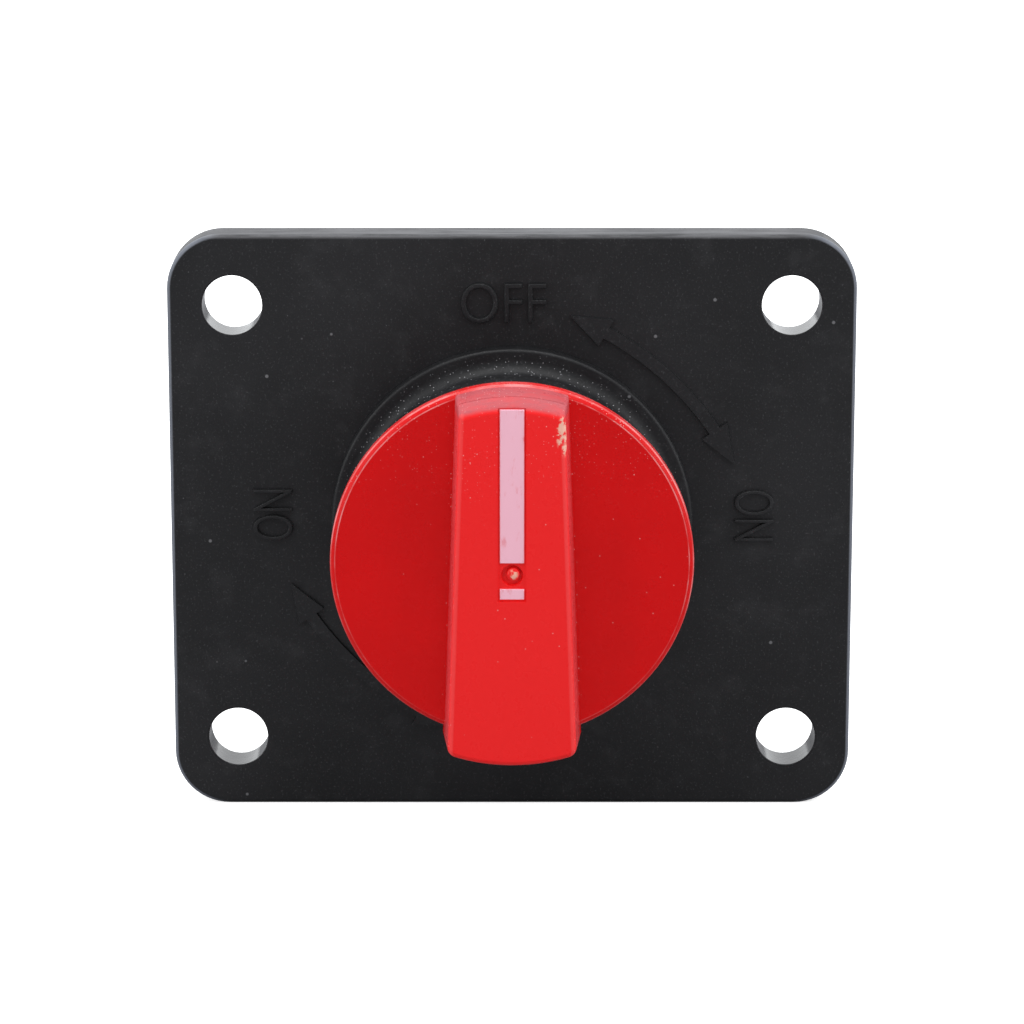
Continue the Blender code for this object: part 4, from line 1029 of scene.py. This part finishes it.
class SWITCH_OT_screws(bpy.types.Operator):
    """Models one housing screw with its cross recess and copies it to the four posts"""

    bl_idname = "switch.screws"
    bl_label = "Housing screws"

    def execute(self, context):
        nodes = [f"housing_screw_{i}" for i in range(1, 5)]
        low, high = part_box(nodes[0])
        x, _, z = centre_of(nodes[0])
        back, seat = high.y, high.y - 0.0020
        rings = [(0.0004, low.y), (0.0015, low.y + 0.0016), (0.0015, seat), (0.0026, seat)]
        rings += [(0.0026, back - 0.0009), (0.00245, back - 0.0005), (0.0021, back - 0.0002), (0.0015, back)]
        screw = turned("cover_screw_1", rings, (x, z), 48)
        for wide, tall in ((0.0016, 0.00042), (0.00042, 0.0016)):
            slot = block("slot", (x - wide, x + wide), (back - 0.0012, back + 0.0005), (z - tall, z + tall))
            self.narrow(slot, x, z, back - 0.0012)
            carve(screw, slot)
        screws = [screw]
        for i, node in enumerate(nodes[1:], 2):
            there = centre_of(node)
            screws.append(copied(screw, f"cover_screw_{i}", (there[0] - x, 0, there[2] - z)))
        for screw, node in zip(screws, nodes):
            fit_out(screw, "housing", "screw_steel", node)
        return {"FINISHED"}

    def narrow(self, slot, x, z, level):
        """Tapers the recess towards its bottom."""
        select_edges(slot, at_level(level))
        bpy.ops.transform.resize(value=(0.55, 1, 0.55), center_override=(x, level, z))
        bpy.ops.object.mode_set(mode="OBJECT")


class SWITCH_OT_terminals(bpy.types.Operator):
    """Models one terminal's threaded stud, washers and nuts and copies them to the other side"""

    bl_idname = "switch.terminals"
    bl_label = "Terminals"

    def execute(self, context):
        p = context.scene.switch_terminals
        pieces = {
            "terminal_stud": (self.stud(p), "threaded_stud", "stud_copper"),
            "clamp_washer": (self.washer("clamp_washer_right"), "seat_washer", "washer_steel"),
            "lug_washer": (self.washer("lug_washer_right"), "cable_washer", "washer_steel"),
            "clamp_nut": (self.nut("clamp_nut_right"), "thin_nut", "nut_steel"),
            "terminal_nut": (self.nut("terminal_nut_right"), "full_nut", "nut_steel"),
            "lock_washer": (self.split_washer("lock_washer_right"), "split_washer", "lock_washer_steel"),
        }
        for node, (piece, name, slot) in pieces.items():
            piece.name = piece.data.name = f"{name}_right"
            twin = copied(piece, f"{name}_left", (-2 * STUD_X, 0, 0))
            for side, obj in (("right", piece), ("left", twin)):
                fit_out(obj, "housing", slot, f"{node}_{side}")
        return {"FINISHED"}

    def stud(self, p):
        low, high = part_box("terminal_stud_right")
        start = 0.0290
        core = STUD_RADIUS - p.thread_depth
        head = block("stud_head", (low.x, high.x), (low.y, low.y + 0.0044), (low.z, high.z))
        bevel(head, lambda a, b: True, 0.0003, 2)
        rings = [(STUD_RADIUS, low.y + PAST), (STUD_RADIUS, start - 0.0003), (core, start)]
        rings += [(core, high.y - 0.0004), (core - 0.0003, high.y)]
        stud = turned("threaded_stud", rings, (STUD_X, 0), 64)
        weld(stud, head)
        ridge = self.thread(p, core, start)
        join(stud, [ridge])
        return stud

    def thread(self, p, core, start):
        """A triangular ridge wound round the stud, running out into the core at its end."""
        shape = ((-0.0001, -0.56), (-0.0001, 0.56), (p.thread_depth, 0.09), (p.thread_depth, -0.09))
        section = [(core + out, start + p.pitch * (0.6 + along)) for out, along in shape]
        ridge = wound("ridge", section, p.pitch, p.turns, (STUD_X, 0))
        fade = p.pitch * 0.9
        last = STUD_END - 0.0005 - fade
        for vertex in ridge.data.vertices:
            over = max(0.0, vertex.co.y - last) / fade
            out = Vector((vertex.co.x - STUD_X, 0, vertex.co.z))
            excess = out.length - (core - 0.0001)
            if over > 0 and excess > 0:
                vertex.co -= out.normalized() * excess * min(1.0, over)
            vertex.co.y = min(vertex.co.y, STUD_END - 0.0005)
        return ridge

    def washer(self, node):
        low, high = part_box(node)
        r, bore = (high.x - low.x) / 2, STUD_BORE
        rings = [(bore, low.y), (r - 0.0001, low.y), (r, low.y + 0.0001)]
        rings += [(r, high.y - 0.0003), (r - 0.0001, high.y - 0.0001), (r - 0.0003, high.y)]
        rings += [(bore + 0.0002, high.y), (bore, high.y - 0.0002)]
        return turned(node + "_piece", rings, (STUD_X, 0), 96, hollow=True)

    def nut(self, node):
        low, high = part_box(node)
        corner = NUT_FLATS / 2 / math.cos(math.radians(30))
        deselect()
        middle = (STUD_X, (low.y + high.y) / 2, 0)
        bpy.ops.mesh.primitive_cylinder_add(
            vertices=6,
            radius=corner,
            depth=high.y - low.y + 0.002,
            location=middle,
            rotation=(math.pi / 2, 0, 0),
        )
        nut = placed(node + "_piece")
        face, outside = 0.0062, corner + 0.001
        rise = (outside - face) * math.tan(math.radians(28))
        rings = [(face, low.y), (outside, low.y + rise), (outside, high.y - rise), (face, high.y)]
        combine(nut, turned("chamfer", rings, (STUD_X, 0), 120), "INTERSECT")
        bore, mouth = 0.00415, 0.0045
        rings = [(mouth + 0.0004, low.y - 0.0004), (bore, low.y + 0.00035), (bore, high.y - 0.00035)]
        carve(nut, turned("bore", [*rings, (mouth + 0.0004, high.y + 0.0004)], (STUD_X, 0), 64))
        return nut

    def split_washer(self, node):
        low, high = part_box(node)
        r, bore, rise = (high.x - low.x) / 2, STUD_BORE, 0.0003
        top = high.y - rise
        section = [(bore, low.y), (r, low.y), (r, top), (bore, top)]
        return wound(node + "_piece", section, rise, 1, (STUD_X, 0), 80, math.radians(350))


class SWITCH_OT_coils(bpy.types.Operator):
    """Models the two coil springs that press the contact bar"""

    bl_idname = "switch.coils"
    bl_label = "Contact springs"

    def execute(self, context):
        for side in ("upper", "lower"):
            low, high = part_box(f"contact_spring_{side}")
            middle = (low + high) / 2
            wire, turns = 0.0003, 4
            reach = (high.x - low.x) / 2 - wire
            start, end = low.y + wire, high.y - wire
            section = []
            for i in range(12):
                a = math.tau * i / 12
                section.append((reach + wire * math.cos(a), start + wire * math.sin(a)))
            coil = wound(f"coil_spring_{side}", section, (end - start) / turns, turns, (middle.x, middle.z))
            node = f"contact_spring_{side}"
            fit_out(coil, "rotor", "spring_steel", node)
            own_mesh(coil)
        return {"FINISHED"}


class SWITCH_OT_inner(bpy.types.Operator):
    """Gives the pieces inside the switch their finishes"""

    bl_idname = "switch.inner"
    bl_label = "Inner pieces"

    def execute(self, context):
        slots = {
            "bush_brass": ["spindle_bush"],
            "seal_rubber": ["spindle_seal", "stud_seal_left", "stud_seal_right"],
            "spring_steel": ["detent_spring_left", "detent_spring_right"],
            "insert_brass": ["knob_insert"],
            "spindle_brass": ["spindle"],
            "thrust_acetal": ["thrust_washer"],
            "cam_acetal": ["detent_cam"],
            "sleeve_acetal": ["spacer_sleeve"],
            "carrier_plastic": ["contact_carrier"],
            "screw_steel": ["knob_screw"],
            "washer_steel": ["knob_screw_washer"],
            "bar_copper": ["contact_bar"],
            "tip_silver": ["contact_tip_upper", "contact_tip_lower"],
        }
        for node, slot in ((node, slot) for slot, nodes in slots.items() for node in nodes):
            obj = frame["nodes"][node]
            obj.data.materials.clear()
            obj.data.materials.append(finishes()[slot])
        return {"FINISHED"}


class SWITCH_OT_stage(bpy.types.Operator):
    """Sets up the pale floor and surround, the soft lights and the camera"""

    bl_idname = "switch.stage"
    bl_label = "Stage"

    def execute(self, context):
        s = context.scene.switch_stage
        self.floor()
        self.surround(context.scene, s)
        aim = Vector((0, PLATE_FRONT, 0))
        lights = (
            ("top_light", (0, -0.15, 0.50), s.top, 0.50, 0.50),
            ("left_light", (-0.42, -0.22, 0.12), s.side, 0.30, 0.50),
            ("right_light", (0.42, -0.22, 0.12), s.side, 0.30, 0.50),
        )
        for name, place, power, wide, tall in lights:
            self.light(name, Vector(place), aim, power, wide, tall)
        self.camera(context.scene, s)
        context.scene.view_settings.view_transform = "Standard"
        return {"FINISHED"}

    def floor(self):
        """A flat floor: pale to the camera, and mid grey as a source of light for the object."""
        deselect()
        level = PLATE_LOW.z - 0.00002
        bpy.ops.mesh.primitive_plane_add(size=1, location=(0, 0, level))
        floor = placed("floor")
        select_only(floor)
        edit_all()
        bpy.ops.transform.resize(value=(8, 8, 1), center_override=(0, 0, level))
        bpy.ops.mesh.subdivide(number_cuts=3)
        bpy.ops.object.mode_set(mode="OBJECT")
        f = Finish("pale_floor", 0.8, specular=0.0)
        path = f.add("LightPath", {}, "Is Camera Ray")
        grain = f.mix(f.mottle((6,), 0.3, 0.7), (0.94, 0.94, 0.94), (0.96, 0.96, 0.96))
        f.put(f.mix(path, (0.36, 0.36, 0.37), grain), f.shader.inputs["Base Color"])
        f.shader.inputs["Emission Color"].default_value = (1, 1, 1, 1)
        f.put(f.ramp(path, 0.0, 1.0, 0.0, 0.72), f.shader.inputs["Emission Strength"])
        floor.data.materials.append(f.material)

    def surround(self, scene, s):
        """White to the camera; to the object, a light that grows from front to back."""
        world = bpy.data.worlds.new("surround")
        scene.world = world
        world.use_nodes = True
        w = Nodes(world.node_tree)
        lit = w.nodes["Background"]
        w.put((0.96, 0.98, 1.0), lit.inputs["Color"])
        way = w.add("SeparateXYZ", {0: w.add("TexCoord", {}, "Generated")}, "Y")
        w.put(w.ramp(way, -0.6, 0.4, s.surround, s.surround_behind), lit.inputs["Strength"])
        seen = w.add("Background", {"Color": (1, 1, 1), "Strength": 1.0})
        path = w.add("LightPath", {}, "Is Camera Ray")
        shown = w.add("MixShader", {0: path, 1: lit.outputs[0], 2: seen})
        w.put(shown, w.nodes["World Output"].inputs["Surface"])

    def light(self, name, place, aim, power, wide, tall):
        deselect()
        bpy.ops.object.light_add(type="AREA", location=place)
        light = bpy.context.active_object
        light.name = name
        light.data.shape = "RECTANGLE"
        light.data.size, light.data.size_y = wide, tall
        light.data.energy = power
        light.rotation_euler = (aim - place).to_track_quat("-Z", "Y").to_euler()

    def camera(self, scene, s):
        e = s.elevation
        aim = Vector((0, PLATE_FRONT, s.aim_height))
        place = aim + s.distance * Vector((0, -math.cos(e), math.sin(e)))
        deselect()
        bpy.ops.object.camera_add(location=place)
        camera = bpy.context.active_object
        camera.name = "camera"
        camera.rotation_euler = (aim - place).to_track_quat("-Z", "Y").to_euler()
        camera.data.lens = s.lens
        camera.data.sensor_width = 36
        camera.data.clip_start, camera.data.clip_end = 0.01, 50
        scene.camera = camera


class SWITCH_PT_panel(bpy.types.Panel):
    """Lists the pieces and the sizes and colours behind them"""

    bl_idname = "SWITCH_PT_panel"
    bl_label = "Battery switch"
    bl_space_type = "VIEW_3D"
    bl_region_type = "UI"
    bl_category = "Battery switch"

    def draw(self, context):
        for operator in OPERATORS:
            self.layout.operator(operator.bl_idname)
        for name, group in GROUPS.items():
            box = self.layout.box()
            settings = getattr(context.scene, name)
            for key in group.__annotations__:
                box.prop(settings, key)


GROUPS = {
    "switch_plate": SWITCH_PG_plate,
    "switch_knob": SWITCH_PG_knob,
    "switch_terminals": SWITCH_PG_terminals,
    "switch_colours": SWITCH_PG_colours,
    "switch_stage": SWITCH_PG_stage,
}
OPERATORS = (
    SWITCH_OT_plate,
    SWITCH_OT_marks,
    SWITCH_OT_knob,
    SWITCH_OT_pointer,
    SWITCH_OT_shell,
    SWITCH_OT_screws,
    SWITCH_OT_terminals,
    SWITCH_OT_coils,
    SWITCH_OT_inner,
    SWITCH_OT_stage,
)


def register():
    for cls in (*GROUPS.values(), *OPERATORS, SWITCH_PT_panel):
        bpy.utils.register_class(cls)
    for name, group in GROUPS.items():
        setattr(bpy.types.Scene, name, PointerProperty(type=group))


def unregister():
    for name in GROUPS:
        delattr(bpy.types.Scene, name)
    for cls in (SWITCH_PT_panel, *reversed(OPERATORS), *GROUPS.values()):
        bpy.utils.unregister_class(cls)


def main():
    register()
    bpy.ops.switch.plate()
    bpy.ops.switch.marks()
    bpy.ops.switch.knob()
    bpy.ops.switch.pointer()
    bpy.ops.switch.shell()
    bpy.ops.switch.screws()
    bpy.ops.switch.terminals()
    bpy.ops.switch.coils()
    bpy.ops.switch.inner()
    bpy.ops.switch.stage()
    deselect()


if __name__ == "__main__":
    main()
